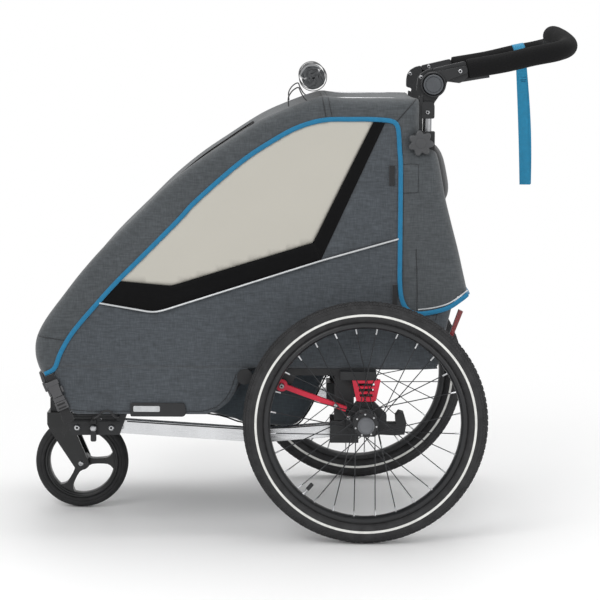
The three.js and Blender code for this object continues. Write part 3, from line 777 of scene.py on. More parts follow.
def side_height(lift, slack):
    """Y of the left side's cloth: pulled in a little where it spans free between the frame tubes."""
    def height(x, z):
        free = min(1.0, max(0.0, (z - 380) / 90)) * min(1.0, edge_distance(x, z, SPAN) / 80)
        free = free * free * (3 - 2 * free)
        return -(half_width(x, z) + lift - slack * free + ripple(x, 0, z, min(1, 0.25 + free)))
    return height


SPAN = FRONT_SEAM + REAR_SEAM[:9] + [(150, 367), (-628, 349)]


def flat_area(outline):
    area = sum(ax * bz - bx * az for (ax, az), (bx, bz) in zip(outline, outline[1:] + outline[:1]))
    return abs(area) / 2 * MM * MM


def cut_size(outline):
    """Width and length, in metres, of the smallest rectangle round an outline."""
    best = None
    for k in range(36):
        c, s = math.cos(math.pi * k / 72), math.sin(math.pi * k / 72)
        us, vs = [x * c + z * s for x, z in outline], [z * c - x * s for x, z in outline]
        size = ((max(us) - min(us)) * MM, (max(vs) - min(vs)) * MM)
        if best is None or size[0] * size[1] < best[0] * best[1]:
            best = size
    return best


def cloth_panel(name, outline, look, slot, lift, slack, replaces=(), step=9, folds=True, thick=1.2):
    """A flat-cut cloth panel on both sides of the cabin."""
    shape = Shape().filled(outline, step, side_height(lift, slack))
    size = cut_size(outline)
    for hand, part in (("left", shape), ("right", shape.mirrored())):
        nodes = [f"{node}_{hand}" for node in replaces]
        piece = part.make(f"{name}_{hand}", look, slot=slot, replaces=nodes, thick=thick, sharp=60)
        flat_area(outline)
        if folds:
            SOFT.append(piece)


def add_side_panels():
    lower = seam_part(*BAND_LOW[0], *FRONT_SEAM[2])
    lower = BAND_LOW[::-1] + lower[1:] + [(-625, 349), (-236, 349), (-159, SPLIT_Z), (143, SPLIT_Z),
                                          (148, 357),
                                          (151, 372), (168, 474)]
    lower += seam_part(168, 474, 68.5, 613)[1:-1]
    cloth_panel("side_lower", lower, GREY_SIDE, "grey_fabric", 0, 4, ["side_panel"])
    cloth_panel("side_skirt", SKIRT, GREY_SIDE, "grey_fabric", 0, 0, folds=False)
    pane = PANE + seam_part(14, 852, -502, 524)[1:-1]
    cloth_panel("window", pane, WINDOW, "grey_fabric", -0.8, 5, step=11, thick=0.8)
    band = BAND_LOW[:4] + PANE[2::-1] + seam_part(-502, 524, -539, 479)[1:-1]
    cloth_panel("window_band", band, BLACK_CLOTH, "black_fabric", 0.8, 4)
    cloth_panel("window_post", [BAND_LOW[3], (38, 850), (14, 850), PANE[2]], BLACK_CLOTH, "black_fabric",
                0.8, 4)
    rear = [BAND_LOW[3], BAND_LOW[4]] + seam_part(68.5, 613, 38, 850)[1:-1] + [(38, 850)]
    cloth_panel("side_rear", rear, GREY_SIDE, "grey_fabric", 0, 4)


# Stations of the covers: silhouette (x, z), side seam (x, z), belly of the side part, sag in the middle.
FRONT_STATIONS = [
    (-650, 327, -636, 337, 0, 3), (-662, 342, -624, 352, 0, 4), (-670.5, 372, -617, 379, 0, 7),
    (-668, 405, -606, 398, 0, 11), (-650, 442, -588, 426, 0, 15), (-614, 491, -565, 453, 0, 18),
    (-576, 540, -541, 481, 0, 20), (-529, 593, -502, 524, 0, 20), (-465, 656, -440, 586, 0, 20),
    (-411, 709, -379, 648, 0, 18), (-353, 757, -325, 704, 0, 16), (-295, 797, -265, 756, 0, 14),
    (-217, 847, -188, 809, 0, 11), (-152, 876, -138, 836, 0, 7), (-105, 893, -97, 848, 0, 2),
    (-85, 897, -76, 851, 0, 0), (-66, 895, -58, 852, 0, 3),
    (-36, 893.5, -36, 852, 0, 7), (30, 894, 14, 852, 0, 8), (82, 894, 44, 850, 0, 6),
    (99, 893.5, 57, 845, 0, 3),
]
REAR_STATIONS = [
    (99, 893.5, 57, 845, 0, 3), (104.4, 888, 61, 835, 0, 3), (105, 862, 64, 815, 0, 4),
    (105.5, 838, 65, 798, 0, 3),
    (107, 815, 66.2, 784, 0, 2), (113, 800, 67, 773, 0, 1), (126, 792, 67.6, 764, 0, 0),
    (139, 786, 68, 755, 0, -1),
    (146, 766, 68.2, 740, 0, -2), (154, 725, 68.4, 710, 0, -3), (161, 688, 68.5, 675, 0, -3),
    (174, 637, 68.6, 625, 0, -3), (187, 588, 68.7, 575, 0, -3), (197, 545, 69, 530, 0, -3),
    (204, 515, 72, 496, -10, -2), (207, 501, 80, 474, -20, -1),
]
SIDE_STEPS, CORNER_STEPS, TOP_STEPS = 9, 7, 14


def section(station, radius):
    """One cross-section of a cover, from the left seam over the top to the right seam."""
    sx, sz, px, pz, belly, sag = station
    s, p = Vector((sx, 0, sz)), Vector((px, 0, pz))
    inward, run = (p - s).normalized(), (p - s).length
    bend = min(radius, run * 0.8)
    half = []
    for k in range(SIDE_STEPS):
        v = k / SIDE_STEPS * (1 - bend / run)
        q = p.lerp(s, v) + Vector((0, 0, belly * (4 * v * (1 - v)) ** 0.6))
        half.append((q.x, -half_width(q.x, q.z) - ripple(q.x, 0, q.z, 0.5), q.z))
    hub = s + inward * bend
    level = half_width(hub.x, hub.z) - bend
    for k in range(CORNER_STEPS + 1):
        turn = math.pi / 2 * k / CORNER_STEPS
        q = hub - inward * bend * math.sin(turn)
        half.append((q.x, -(level + bend * math.cos(turn)), q.z))
    for k in range(1, TOP_STEPS + 1):
        y = level * (1 - k / TOP_STEPS)
        drop = sag * (1 - (y / level) ** 2) + ripple(s.x, y, s.z, 0.6 * min(1, 3 * (1 - y / level)))
        q = s + inward * drop
        half.append((q.x, -y, q.z))
    return half + [(x, -y, z) for x, y, z in half[-2::-1]]


def cover_rows(stations, radius, steps=6):
    lines = [spline([(s[a], s[a + 1], 0) for s in stations], steps) for a in (0, 2, 4)]
    return [section((s.x, s.y, p.x, p.y, e.x, e.y), radius) for s, p, e in zip(*lines)]


def declare_rows(piece, rows):
    """Measures a cover's flat size along its own rows, a result that is not used, and adds the cover to SOFT."""
    def length(line):
        return sum(math.dist(a, b) for a, b in zip(line, line[1:])) * MM
    widths = [length(row) for row in rows]
    runs = [length([row[j] for row in rows]) for j in range(len(rows[0]))]
    mean = lambda values: sum(values) / len(values)
    mean(widths) * mean(runs)
    SOFT.append(piece)


SCREEN_HALF, SCREEN_ROWS = 150, (22, 70)


def add_covers():
    front = cover_rows(FRONT_STATIONS, 24)
    shape = Shape().grid(front)
    wide = len(front[0])
    for f, face in enumerate(shape.faces):
        row = f // (wide - 1)
        if SCREEN_ROWS[0] <= row < SCREEN_ROWS[1] and abs(shape.points[face[0]][1]) < SCREEN_HALF:
            shape.kinds[f] = 1
    piece = shape.make("front_and_roof_cover", [GREY, SCREEN], slot="grey_fabric", replaces=["roof_cover"],
                       thick=1.3,
                       sharp=70)
    declare_rows(piece, front)
    rear = cover_rows(REAR_STATIONS, 22)
    piece = Shape().grid(rear).make("rear_cover_cloth", GREY, slot="grey_fabric", replaces=["rear_cover"],
                                    thick=1.3,
                                    sharp=70)
    declare_rows(piece, rear)
    low = cover_rows([(x, z, x - 26, z + 1, 0, -1) for x, z in
                      ((177, 481), (170, 452), (162, 418), (155, 388), (150, 366), (141, 352))], 18, 3)
    piece = Shape().grid(low).make("rear_lower_cloth", GREY_SIDE, slot="grey_fabric", thick=1.2, sharp=70)
    declare_rows(piece, low)
    nose = cover_rows([(x, z, x + 26, z + 2, 0, 2) for x, z in
                       ((-642, 344), (-634, 322), (-622, 296), (-608, 268), (-598, 255))], 18, 3)
    piece = Shape().grid(nose).make("nose_cloth", GREY_SIDE, slot="grey_fabric", thick=1.2, sharp=70)
    declare_rows(piece, nose)
    SOFT.remove(piece)
    return front, rear


def on_side(x, z, lift=1.0):
    return Vector((x, -(half_width(x, z) + lift), z))


def both(name, shape, looks, slot, folds=True, **options):
    """Makes a left-hand shape and its mirror image."""
    for hand, part in (("left", shape), ("right", shape.mirrored())):
        piece = part.make(f"{name}_{hand}", looks, slot=slot, **options)
        if folds:
            SOFT.append(piece)


def add_trim(front, rear):
    """Blue tape over the seams, reflective piping, sewn seams and small tabs."""
    side_line = [on_side(x, z, 1.4) for x, z in PANEL_EDGE]
    x, z = REAR_SEAM[-1]
    level = half_width(x, z)
    back = [Vector((x + 2 - 22 * (1 - math.sin(t)) * 0.55, -(level - 22 + 23.5 * math.cos(t)), z + 1))
            for t in (0.5, 0.9, 1.3, math.pi / 2)]
    cross = [Vector((x + 3, y, z + 1)) for y in (-180, -120, -60)]
    left = even(side_line + back + cross, 7)
    line = left + [Vector((x + 3, 0, z + 1))] + [Vector((q.x, -q.y, q.z)) for q in left[::-1]]
    tape = Shape().tube(line, (2.6, 4.9), 14)
    SOFT.append(tape.make("seam_tape", BLUE, slot="blue_webbing", sharp=80))

    line = [on_side(q.x, q.y, 1.8) for q in even(rounded([(x, z, 0) for x, z in BAND_LOW], 16), 9)]
    both("band_piping", Shape().tube(line, 1.9, 8), REFLECTIVE, "grey_fabric")
    hem = [on_side(x, z + 8.5, 1.6) for x, z in REAR_SEAM[10:]]
    both("rear_piping", Shape().tube(spline(hem, 4), 1.5, 8), REFLECTIVE, "grey_fabric")

    seams = Shape()
    def stitched(points, radius=0.75):
        seams.tube(points, radius, 6)
    for share in (88, 92):
        row = front[share]
        stitched([Vector(q) + Vector((0, 0, 0.6)) * (1 if abs(q[1]) < 200 else 0)
                  - Vector((0, 1.0 if q[1] < 0 else -1.0, 0)) for q in row])
    stitched([Vector(q) + Vector((0, -1.0 if q[1] < 0 else 1.0, 0)) for q in rear[0]], 1.0)
    stitched([Vector(q) + Vector((0, -1.0 if q[1] < 0 else 1.0, 0)) for q in front[19]], 0.9)
    for side in (-1, 1):
        def drawn(points, radius=0.7):
            stitched([Vector((q.x, -side * q.y, q.z)) for q in (on_side(x, z, 1.2) for x, z in points)],
                     radius)
        drawn([(104, 466), (104, 500), (103, 545), (101, 592)])
        drawn([(72, 762), (90, 763), (104, 762), (104, 735), (104, 706), (72, 704)], 0.55)
        drawn([(-600, 262), (-560, 259), (-330, 260), (-302, 268), (-284, 285), (-272, 305), (-262, 336)],
              0.6)
        drawn([(74, 495), (74, 620), (74, 740), (71, 800)], 0.5)
    SOFT.append(seams.make("sewn_seams", THREAD_DARK, slot="black_fabric", sharp=80))

    tabs = Shape()
    for x0, x1, z0, z1 in ((45, 56, 719, 760), (54, 64, 478, 520)):
        y = -(half_width(x0, z0) + 2.4)
        tabs.block((x0, y, z0), (x1, y + 2.6, z1))
    both("seam_tab", tabs, STRAP_BLACK, "black_fabric", bevel=0.7)

    rows = SCREEN_ROWS
    columns = [j for j in range(len(front[0])) if abs(front[40][j][1]) < SCREEN_HALF]
    j0, j1 = columns[0], columns[-1] + 1
    frame_line = [front[i][j0] for i in range(rows[0], rows[1])] + [front[rows[1]][j] for j in range(j0, j1)]
    frame_line += [front[i][j1] for i in range(rows[1], rows[0],
                                               -1)] + [front[rows[0]][j] for j in range(j1, j0, -1)]
    ring = even(frame_line, 8, closed=True)
    ring = [q + Vector((-1.0, 0, 1.0)) for q in ring]
    SOFT.append(Shape().tube(ring, (1.6, 6), 10, closed=True, normal=(-0.7, 0, 0.7))
                .make("screen_binding", BLACK_CLOTH, slot="black_fabric", sharp=80))


VENT_LOW, VENT_TOP, VENT_TOP_X = 676, 796, 138
BACK_SLOPE = 0.205  # how far the back runs rearwards for each millimetre down


def add_vent():
    """The black mesh pocket that stands out from the cabin's back."""
    rows = []
    for i in range(19):
        t = i / 18
        z = VENT_LOW + (VENT_TOP - VENT_LOW) * t
        base = VENT_TOP_X + (VENT_TOP - z) * BACK_SLOPE
        row = []
        for j in range(33):
            u = -1 + j / 16
            rise = max(0.0, 1 - abs(2 * t - 1.02) ** 3.2) ** 0.6 * max(0.0, 1 - abs(u) ** 4) ** 0.6
            row.append((base + 0.5 + 23 * rise + ripple(z, u * 90, 0, 0.8 * rise), 122 * u, z))
        rows.append(row)
    piece = Shape().grid(rows).make("vent_pocket", MESH, slot="black_fabric", thick=1.5, sharp=70)
    declare_rows(piece, rows)
    edge = rows[0] + [r[-1] for r in rows[1:]] + rows[-1][::-1][1:] + [r[0] for r in rows[::-1][1:-1]]
    ring = [Vector(q) + Vector((0.6, 0, 0)) for q in even(edge, 8, closed=True)]
    SOFT.append(Shape().tube(ring, (1.8, 4), 8, closed=True, normal=(1, 0, 0))
                .make("vent_binding", BLACK_CLOTH, slot="black_fabric", sharp=80))


def finish_folds():
    for piece in SOFT:
        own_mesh(piece)


# ---- hard parts ---------------------------------------------------------------------------------
def soft_outline(outline, radius, steps=4):
    """A closed side-view outline with its corners rounded."""
    n = len(outline)
    line = []
    for k in range(n):
        a, b, c = (Vector(outline[(k + d) % n]) for d in (-1, 0, 1))
        cut = min(radius, (a - b).length / 2.1, (c - b).length / 2.1)
        start, end = b + (a - b).normalized() * cut, b + (c - b).normalized() * cut
        for s in range(steps + 1):
            t = s / steps
            q = start * (1 - t) ** 2 + b * 2 * t * (1 - t) + end * t * t
            line.append((q.x, q.y))
    return line


def screw_head(shape, x, y, z, r, side, high=2.6, socket=0.5):
    """A button-head screw on an outer face that looks along side * Y, with a hexagon socket."""
    profile = [(r * 1.0, 0), (r * 0.98, high * 0.35), (r * 0.8, high * 0.8), (r * 0.62, high),
               (r * socket, high)]
    rows = []
    for i in range(24):
        a = 2 * math.pi * i / 24
        hexed = math.cos(math.pi / 6) / math.cos((a + math.pi / 6) % (math.pi / 3) - math.pi / 6)
        row = [(x + q * math.cos(a), y + side * h, z + q * math.sin(a)) for q, h in profile]
        for depth in (high, -0.2 * high):
            q = r * socket * hexed
            row.append((x + q * math.cos(a), y + side * depth, z + q * math.sin(a)))
        rows.append(row)
    shape.grid(rows, along=True)
    shape.add([(x + r * socket * 1.2 * math.cos(t), y - side * 0.15 * high,
                z + r * socket * 1.2 * math.sin(t))
               for t in (math.pi * k / 6 for k in range(12))], [list(range(12))])
    return shape


def add_caster():
    x, z = CASTER_X, CASTER_Z
    tyre = Shape()
    section = [(78.9, 12), (80, 15.5), (83.5, 17.6), (86, 17.2), (87.2, 16.2), (88.6, 17.0), (92, 16.6),
               (95.6, 14.4),
               (98.3, 11), (99.6, 7), (100.0, 3.4), (98.9, 2.4), (98.9, -2.4), (100.0, -3.4), (99.6, -7),
               (98.3, -11),
               (95.6, -14.4), (92, -16.6), (88.6, -17.0), (87.2, -16.2), (86, -17.2), (83.5, -17.6),
               (80, -15.5),
               (78.9, -12)]
    tyre.turned(section, x=x, z=z, segments=120, loop=True)
    tyre.make("caster_tyre_rubber", CASTER_RUBBER, "caster_wheel", "caster_rubber", ["caster_tyre"],
              sharp=42)
    rim = Shape()
    ring = [(78.8, 14.6), (75.2, 15.2), (73.4, 13.2), (70.6, 12.6), (69.2, 9), (68.8, 0), (69.2, -9),
            (70.6, -12.6),
            (73.4, -13.2), (75.2, -15.2), (78.8, -14.6), (78.8, 0)]
    rim.turned(ring, x=x, z=z, segments=96, loop=True)
    rim.turned([(6.7, 21.5), (15.6, 21.5), (16.4, 20.5), (18, 12), (18, -12), (16.4, -20.5), (15.6, -21.5),
                (6.7, -21.5)], x=x, z=z, segments=40, loop=True)
    for k in range(3):
        turn = math.radians(2 + 120 * k)
        out, over = Vector((math.cos(turn), math.sin(turn))), Vector((-math.sin(turn), math.cos(turn)))
        for y, grow in ((10.5, 0.0), (4.5, 1.6)):
            half = []
            for d, w in ((15, 9.5), (22, 6.4), (32, 5.6), (46, 6.0), (55, 7.2), (61, 10.5), (66, 16.5),
                         (70, 24)):
                half.append((d, max(1.5, w - grow)))
            edge = [out * d + over * w for d, w in half] + [out * d - over * w for d, w in half[::-1]]
            rim.prism([(x + q.x, z + q.y) for q in edge], -y, y)
    rim.make("caster_rim_body", GLOSS_BLACK, "caster_wheel", "rim", ["caster_rim"], bevel=0.9, sharp=35)
    low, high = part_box("caster_axle")
    bolt = Shape()
    for side, y in ((-1, low.y / MM + 4.2), (1, high.y / MM - 4.2)):
        screw_head(bolt, x, y, z, 6.2, side, 4.2)
    bolt.turned([(4, -29), (4, 29)], x=x, z=z, segments=20)
    bolt.make("caster_axle_bolt", STEEL, "caster_fork", "steel", ["caster_axle"], sharp=35)
    refined("caster_fork", GLOSS_BLACK, 2.2)
    refined("caster_mount", PLASTIC, 1.6)


BOLTS = ((-589, 7), (-519, 7))


def add_front_brackets():
    for hand, side in SIDES.items():
        refined(f"front_bracket_{hand}", PLASTIC, 0.9)
        face = side * 221.4
        trim = Shape()
        for x, r in BOLTS:
            screw_head(trim, x, face, 217, r - 0.4, side, 4.2, 0.42)
        trim.make(f"bracket_bolts_{hand}", STEEL, slot="steel", sharp=35)
        rib = Shape()
        for x0, x1 in ((-606, -556), (-544, -500)):
            rib.block((x0, face - 1.2, 228.6), (x1, face + 1.2, 230.4))
            rib.block((x0, face - 1.2, 237.6), (x1, face + 1.2, 239.4))
            rib.block((x0 + 5, face - side * 3.6, 231.5), (x1 - 1, face - side * 5.6, 236.5))
        rib.block((-612, face - 1, 242.5), (-489, face + 1, 244.2))
        rib.make(f"bracket_ribs_{hand}", PLASTIC, slot="plastic", bevel=0.5)
    refined("drawbar_pin", STEEL, 0.5)
    flap = Shape().prism(soft_outline([(-561, 189), (-549, 189), (-549, 213), (-561, 213)], 4), -229.5,
                         -225.5)
    flap.make("pin_pull_tab", PLASTIC, "drawbar_pin", "plastic", bevel=0.8)


def add_frame():
    refined("front_crossbar", BLACK_TUBE, 0.4)
    refined("axle_beam", ALU, 0.4)
    refined("base_frame", BLACK_TUBE, 0.3)
    refined("rear_hoop", ALU, 0.3)
    refined("brake_pedal", PLASTIC, 1.2)
    refined("tail_light", LENS, 0.6)
    for hand, side in SIDES.items():
        refined(f"rail_{hand}", ALU, 1.6)
        refined(f"axle_clamp_{hand}", PLASTIC, 1.2)
        refined(f"suspension_bracket_{hand}", PLASTIC, 1.2)
        refined(f"elastomer_{hand}", RED, 1.2)
        refined(f"swing_arm_{hand}", RED, 1.0)
        refined(f"axle_carrier_{hand}", PLASTIC, 1.4)
        strip = [(-487, 232.6), (-247, 217.6), (-148, 221.5), (-53, 229.5)]
        shape = Shape().tube([(x, side * 215.2, z - 3.4) for x, z in strip], (0.7, 1.3), 8,
                             normal=(0, 1, 0))
        shape.make(f"rail_groove_{hand}", BLACK_TUBE, slot="black_tube")
        bolts = Shape()
        screw_head(bolts, -497, side * 215, 217, 4.2, side, 2.2)
        for x, z, y in ((-60, 276, 282), (-33, 252, 282), (-169, 316, 282)):
            screw_head(bolts, x, side * y, z, 5.2, side, 3.4)
        bolts.make(f"frame_bolts_{hand}", STEEL, slot="steel", sharp=35)


def add_reflectors():
    for hand, side in SIDES.items():
        y0 = side * 263.5
        house = Shape().prism(soft_outline([(-476, 249), (-368, 249), (-362, 256), (-366, 277),
                                            (-476, 277)], 4),
                              y0 - 3, y0 + 3)
        house.make(f"reflector_housing_{hand}", PLASTIC, slot="plastic", bevel=1.0)
        pad = Shape().prism(soft_outline([(-470, 259), (-416, 259), (-416, 271), (-470, 271)], 3), y0 - 4.2,
                            y0 + 4.2)
        pad.make(f"reflector_plate_{hand}", REFLECTIVE, slot="lens", bevel=0.8)


def add_buckles():
    """Side-release buckles on webbing that pull the front cover's corners down to the bracket."""
    for hand, side in SIDES.items():
        def strip(along, wide, y0, y1, shape, kind=0, shrink=1.0):
            a, b = Vector(along[0]), Vector(along[1])
            over = Vector(((b - a).y, -(b - a).x)).normalized() * wide / 2
            corners = [a - over, a + over, b + over * shrink, b - over * shrink]
            shape.prism([(q.x, q.y) for q in corners], min(y0, y1), max(y0, y1), kind)
        y = side * 262.5
        web = Shape()
        strip([(-641, 333), (-628, 303)], 20, y - side, y + side * 1.4, web)
        strip([(-619, 282), (-603, 243)], 20, y - side, y + side * 1.4, web)
        strip([(-606, 249), (-600, 236)], 22, y - side * 8, y + side * 1.2, web)
        web.make(f"front_strap_{hand}", STRAP_BLACK, slot="black_fabric", replaces=[f"front_buckle_{hand}"],
                 bevel=0.5)
        buckle = Shape()
        strip([(-634, 316), (-622, 289)], 24, y, y + side * 7, buckle, 0, 0.82)
        strip([(-636, 321), (-632, 312)], 27, y - side, y + side * 8, buckle)
        strip([(-622, 289), (-618, 279)], 23, y, y + side * 5, buckle)
        for shift in (-13.5, 13.5):
            strip([(-629 + shift * 0.92, 306 + shift * 0.4), (-624 + shift * 0.92, 294 + shift * 0.4)], 4.5,
                  y,
                  y + side * 6, buckle)
        strip([(-618, 279), (-611, 263)], 25, y - side, y + side * 6.5, buckle)
        buckle.make(f"buckle_{hand}", BUCKLE, slot="plastic", bevel=1.4)
        bars = Shape()
        strip([(-617, 276), (-615.5, 272.6)], 17, y + side * 6, y + side * 7.4, bars)
        strip([(-613.6, 268.6), (-612.4, 265.8)], 17, y + side * 6, y + side * 7.4, bars)
        bars.make(f"buckle_slots_{hand}", STRAP_BLACK, slot="black_fabric", bevel=0.4)


def add_handle():
    for hand, side in SIDES.items():
        y = side * 193
        body = "handle_posts"
        post = Shape().turned([(0.01, 712), (7.8, 712), (8.8, 713), (8.8, 875), (7.8, 876), (0.01, 876)],
                              x=123, y=y,
                              z=0, segments=32, axis="Z")
        post.make(f"post_{hand}", GREY_TUBE, body, "grey_tube", [f"handle_post_{hand}"], sharp=40)
        refined(f"post_clamp_{hand}", PLASTIC, 2.0)
        base = Shape()
        outline = [(101, 907), (101, 924), (103, 935), (109, 944), (120, 951), (133.5, 954.3), (133.5, 925),
                   (150, 905),
                   (145, 897), (136, 884), (136, 853.5), (111, 853.5), (111, 890), (113, 904)]
        base.prism(soft_outline(outline, 4), *sorted((side * 181.5, side * 199)))
        base.prism(soft_outline([(110, 853.2), (137, 853.2), (137, 880), (133, 888), (114, 888),
                                 (110, 880)], 4),
                   *sorted((side * 199, side * 205.5)))
        base.turned([(25.4, -6.5), (25.4, 6.5), (24.4, 7.5), (18, 7.5), (18, -7.5), (24.4, -7.5)], x=133,
                    y=side * 190, z=922, segments=64, loop=True)
        base.make(f"tilt_base_{hand}_body", PLASTIC, body, "plastic", [f"tilt_base_{hand}"], bevel=1.4,
                  sharp=35)
        arm = Shape()
        top = [(134.5, 954.4), (150, 958), (189, 967.3), (197, 969), (203, 955), (204, 937), (186, 925),
               (176, 926), (161, 928),
               (157, 917), (140, 905), (134.5, 915)]
        arm.prism(soft_outline(top, 3), *sorted((side * 182.5, side * 204)))
        face = [(118, 944), (126, 947), (150, 950.5), (196, 960), (201, 957), (203, 946), (176, 936),
                (161, 929),
                (157, 910), (118, 905)]
        arm.prism(soft_outline(face, 5), *sorted((side * 200, side * 211)))
        rim_turn = [(21.2, side * 4), (21.2, side * 15.4), (22.6, side * 17), (24.6, side * 17),
                    (25.5, side * 15.6),
                    (25.5, side * 1), (24.5, 0), (21.2, 0)]
        arm.turned(rim_turn, x=133, y=side * 200, z=922, segments=72, loop=True)
        arm.make(f"tilt_arm_{hand}_body", PLASTIC, "handlebar", "plastic", [f"tilt_arm_{hand}"], bevel=1.3,
                 sharp=35)
        knuckle = Shape().turned([(0.01, -7), (9, -7), (10, -6), (10, 6), (9, 7), (0.01, 7)], x=185,
                                 y=side * 196,
                                 z=935, segments=36)
        knuckle.make(f"tilt_knuckle_{hand}", PLASTIC, "handlebar", "plastic", sharp=40)
        cap = Shape().turned([(0.01, side * 3.4), (12, side * 3.4), (14.8, side * 3.2), (15.3, side * 2.2),
                              (16.4, side * 2.2), (16.9, side * 3.7),
                              (19, side * 3.6), (20, side * 2.4), (20, -side * 6), (0.01, -side * 6)],
                              x=133,
                             y=side * 217, z=922, segments=64)
        cap.make(f"tilt_button_{hand}_cap", CAP_DARK, f"tilt_button_{hand}", "cap_plastic",
                 [f"tilt_button_{hand}"],
                 sharp=34)
        screws = Shape()
        screw_head(screws, 122.5, side * 205.6, 866, 5, side, 3.2)
        screw_head(screws, 109, side * 199, 936, 4.4, side, 2.8)
        screws.make(f"post_screws_{hand}", STEEL, body, "steel", sharp=35)
        inner = screw_head(Shape(), 109, side * 181.5, 936, 4.4, -side, 2.8)
        inner.make(f"inner_screw_{hand}", STEEL, body, "steel", sharp=35)
        screws = screw_head(Shape(), 187, side * 211, 949, 4.6, side, 2.8)
        screw_head(screws, 150, side * 182.5, 952, 4.4, -side, 2.8)
        screws.make(f"arm_screws_{hand}", STEEL, "handlebar", "steel", sharp=35)

        knob = Shape()
        def star(reach):
            edge = []
            for k in range(140):
                a = 2 * math.pi * k / 140
                lobe = 0.5 + 0.5 * math.cos(7 * a + 0.5)
                edge.append((108 + (reach - 7.2 + 7.2 * lobe ** 0.7) * math.cos(a),
                             805 + (reach - 7.2 + 7.2 * lobe ** 0.7) * math.sin(a)))
            return edge
        lifts = ((0.4, 23.4), (1.6, 25.6), (4, 26.8), (9, 26.8), (11.4, 25.4), (12.4, 22.8))
        knob.grid([[(x, side * (226 + h), z) for x, z in star(reach)] for h, reach in lifts], around=True)
        for h, reach, flip in ((0.4, 23.4, 1), (12.4, 22.8, -1)):
            knob.add([(x, side * (226 + h), z) for x, z in star(reach)], [list(range(140))[::flip]])
        knob.turned([(11, 11.5 * side), (10.2, 13.2 * side), (8.4, 13.8 * side), (5, 14 * side),
                     (0.01, 14 * side)],
                    x=108, y=side * 226, z=805, segments=40)
        knob.turned([(8, 0), (8.8, -6 * side), (8.8, -14 * side), (0.01, -14 * side)], x=108, y=side * 226,
                    z=805,
                    segments=32)
        knob.make(f"star_knob_{hand}_body", KNOB, f"knob_{hand}", "plastic", [f"star_knob_{hand}"],
                  sharp=38)

    line = [Vector(p) for p in GRIP]
    grip = even(spline(line + [Vector((399, 0, 1022))] + [Vector((x, -y, z)) for x, y, z in GRIP[::-1]],
                       10), 6)
    Shape().tube(grip, 10.8, 20).make("handlebar", BLACK_TUBE, "handlebar", "black_tube",
                                      ["handlebar_tube"], sharp=50)
    total = len(grip)
    foam = grip[int(total * 0.0445):int(total * 0.9555) + 1]
    def swell(t):
        end = min(t, 1 - t) * (len(foam) - 1) * 6
        return 12.4 + 7.5 * min(1.0, max(0.0, end / 3.2)) ** 0.5
    fine = even(foam, 3.0)
    Shape().tube(fine, swell, 28).make("foam_sleeve", FOAM, "handlebar", "foam", ["foam_grip"], sharp=60)
    rod = Shape().tube(spline([(181, -193, 930), (205, -193, 934), (228, -193, 938), (247, -193, 941)], 4),
                       5, 14)
    rod.make("under_grip_bar", BLACK_TUBE, "handlebar", "black_tube", sharp=50)


GRIP = [(166, -193, 946), (200, -193, 953), (275, -193, 966), (335, -193, 980), (385, -187, 990),
        (412, -140, 1000),
        (408, -70, 1014)]


def ribbon(shape, centre_line, wide, thick=1.3):
    """Adds a flat strap with its width along X. wide is one number, or one for each point."""
    rows = []
    for k, (x, y, z) in enumerate(centre_line):
        w = (wide[k] if isinstance(wide, (list, tuple)) else wide) / 2
        rows.append([(x - w, y - thick / 2, z), (x - w + 0.5, y - thick / 2 - 0.12, z),
                     (x + w - 0.5, y - thick / 2
                     - 0.12, z), (x + w, y - thick / 2, z), (x + w, y + thick / 2, z),
                     (x - w, y + thick / 2, z)])
    shape.grid(rows, around=True)
    shape.add([rows[0][i] for i in range(6)] + [rows[-1][i] for i in range(6)],
                     [[5, 4, 3, 2, 1, 0], [6, 7, 8, 9, 10, 11]])


def add_wrist_strap():
    front = [((346.5 + 13.0 * t, 190.7 + 0.6 * math.sin(6 * t),
               955 - 262 * t)) for t in (k / 40 for k in range(41))]
    wide = [24 - 2.0 * math.sin(3.1 * k / 40) for k in range(41)]
    front = [(x + 9, y, z) for x, y, z in front]
    back = [(x + 6.5 * math.sin(math.pi * k / 44), y + 3.1, z) for k, (x, y, z) in enumerate(front)]
    strap = Shape()
    ribbon(strap, front, wide)
    ribbon(strap, back, wide)
    low = front[-1]
    fold = [(low[0], low[1] + 1.55 - 1.55 * math.cos(a), low[2] + 0.4 - 1.5 * math.sin(a))
            for a in (math.pi * k / 8 for k in range(9))]
    ribbon(strap, fold, 23.5)
    piece = strap.make("wrist_strap_loop", STRAP_BLUE, "wrist_strap", "blue_webbing", ["wrist_strap"],
                       sharp=50,
                       weld=True)
    stitch = Shape()
    for z in (930, 925, 921):
        stitch.tube([(355, 189.6, z), (358, 189.5, z), (367, 189.6, z)], 0.5, 6)
    stitch.make("wrist_strap_stitches", THREAD_BLUE, "wrist_strap", "blue_webbing", sharp=60)
    at_bar, ahead = Vector((350, 193, 982.6)), Vector((60, 0, 12.5)).normalized()
    over = Vector((-ahead.z, 0, ahead.x))
    rows = []
    for k in range(7):
        shift = -13 + 26 * k / 6
        rows.append([at_bar + ahead * (shift + 0.6 * math.sin(3 * a)) + (over * math.sin(a) + Vector((0, 1, 0))
                     * math.cos(a)) * 20.6 for a in (2 * math.pi * j / 40 for j in range(40))])
    sleeve = Shape().grid(rows, around=True)
    band = sleeve.make("wrist_strap_sleeve", STRAP_BLUE, "handlebar", "blue_webbing", thick=1.1, sharp=60)
    neck = Shape()
    ribbon(neck, [(354, 189.6 - 9.5 * math.cos(t * 1.4) * (1 - t),
                   966 - 18 * t) for t in (k / 6 for k in range(7))],
           [24, 24, 24, 24, 23.5, 23, 22.5])
    neck.make("wrist_strap_neck", STRAP_BLUE, "handlebar", "blue_webbing", sharp=60)


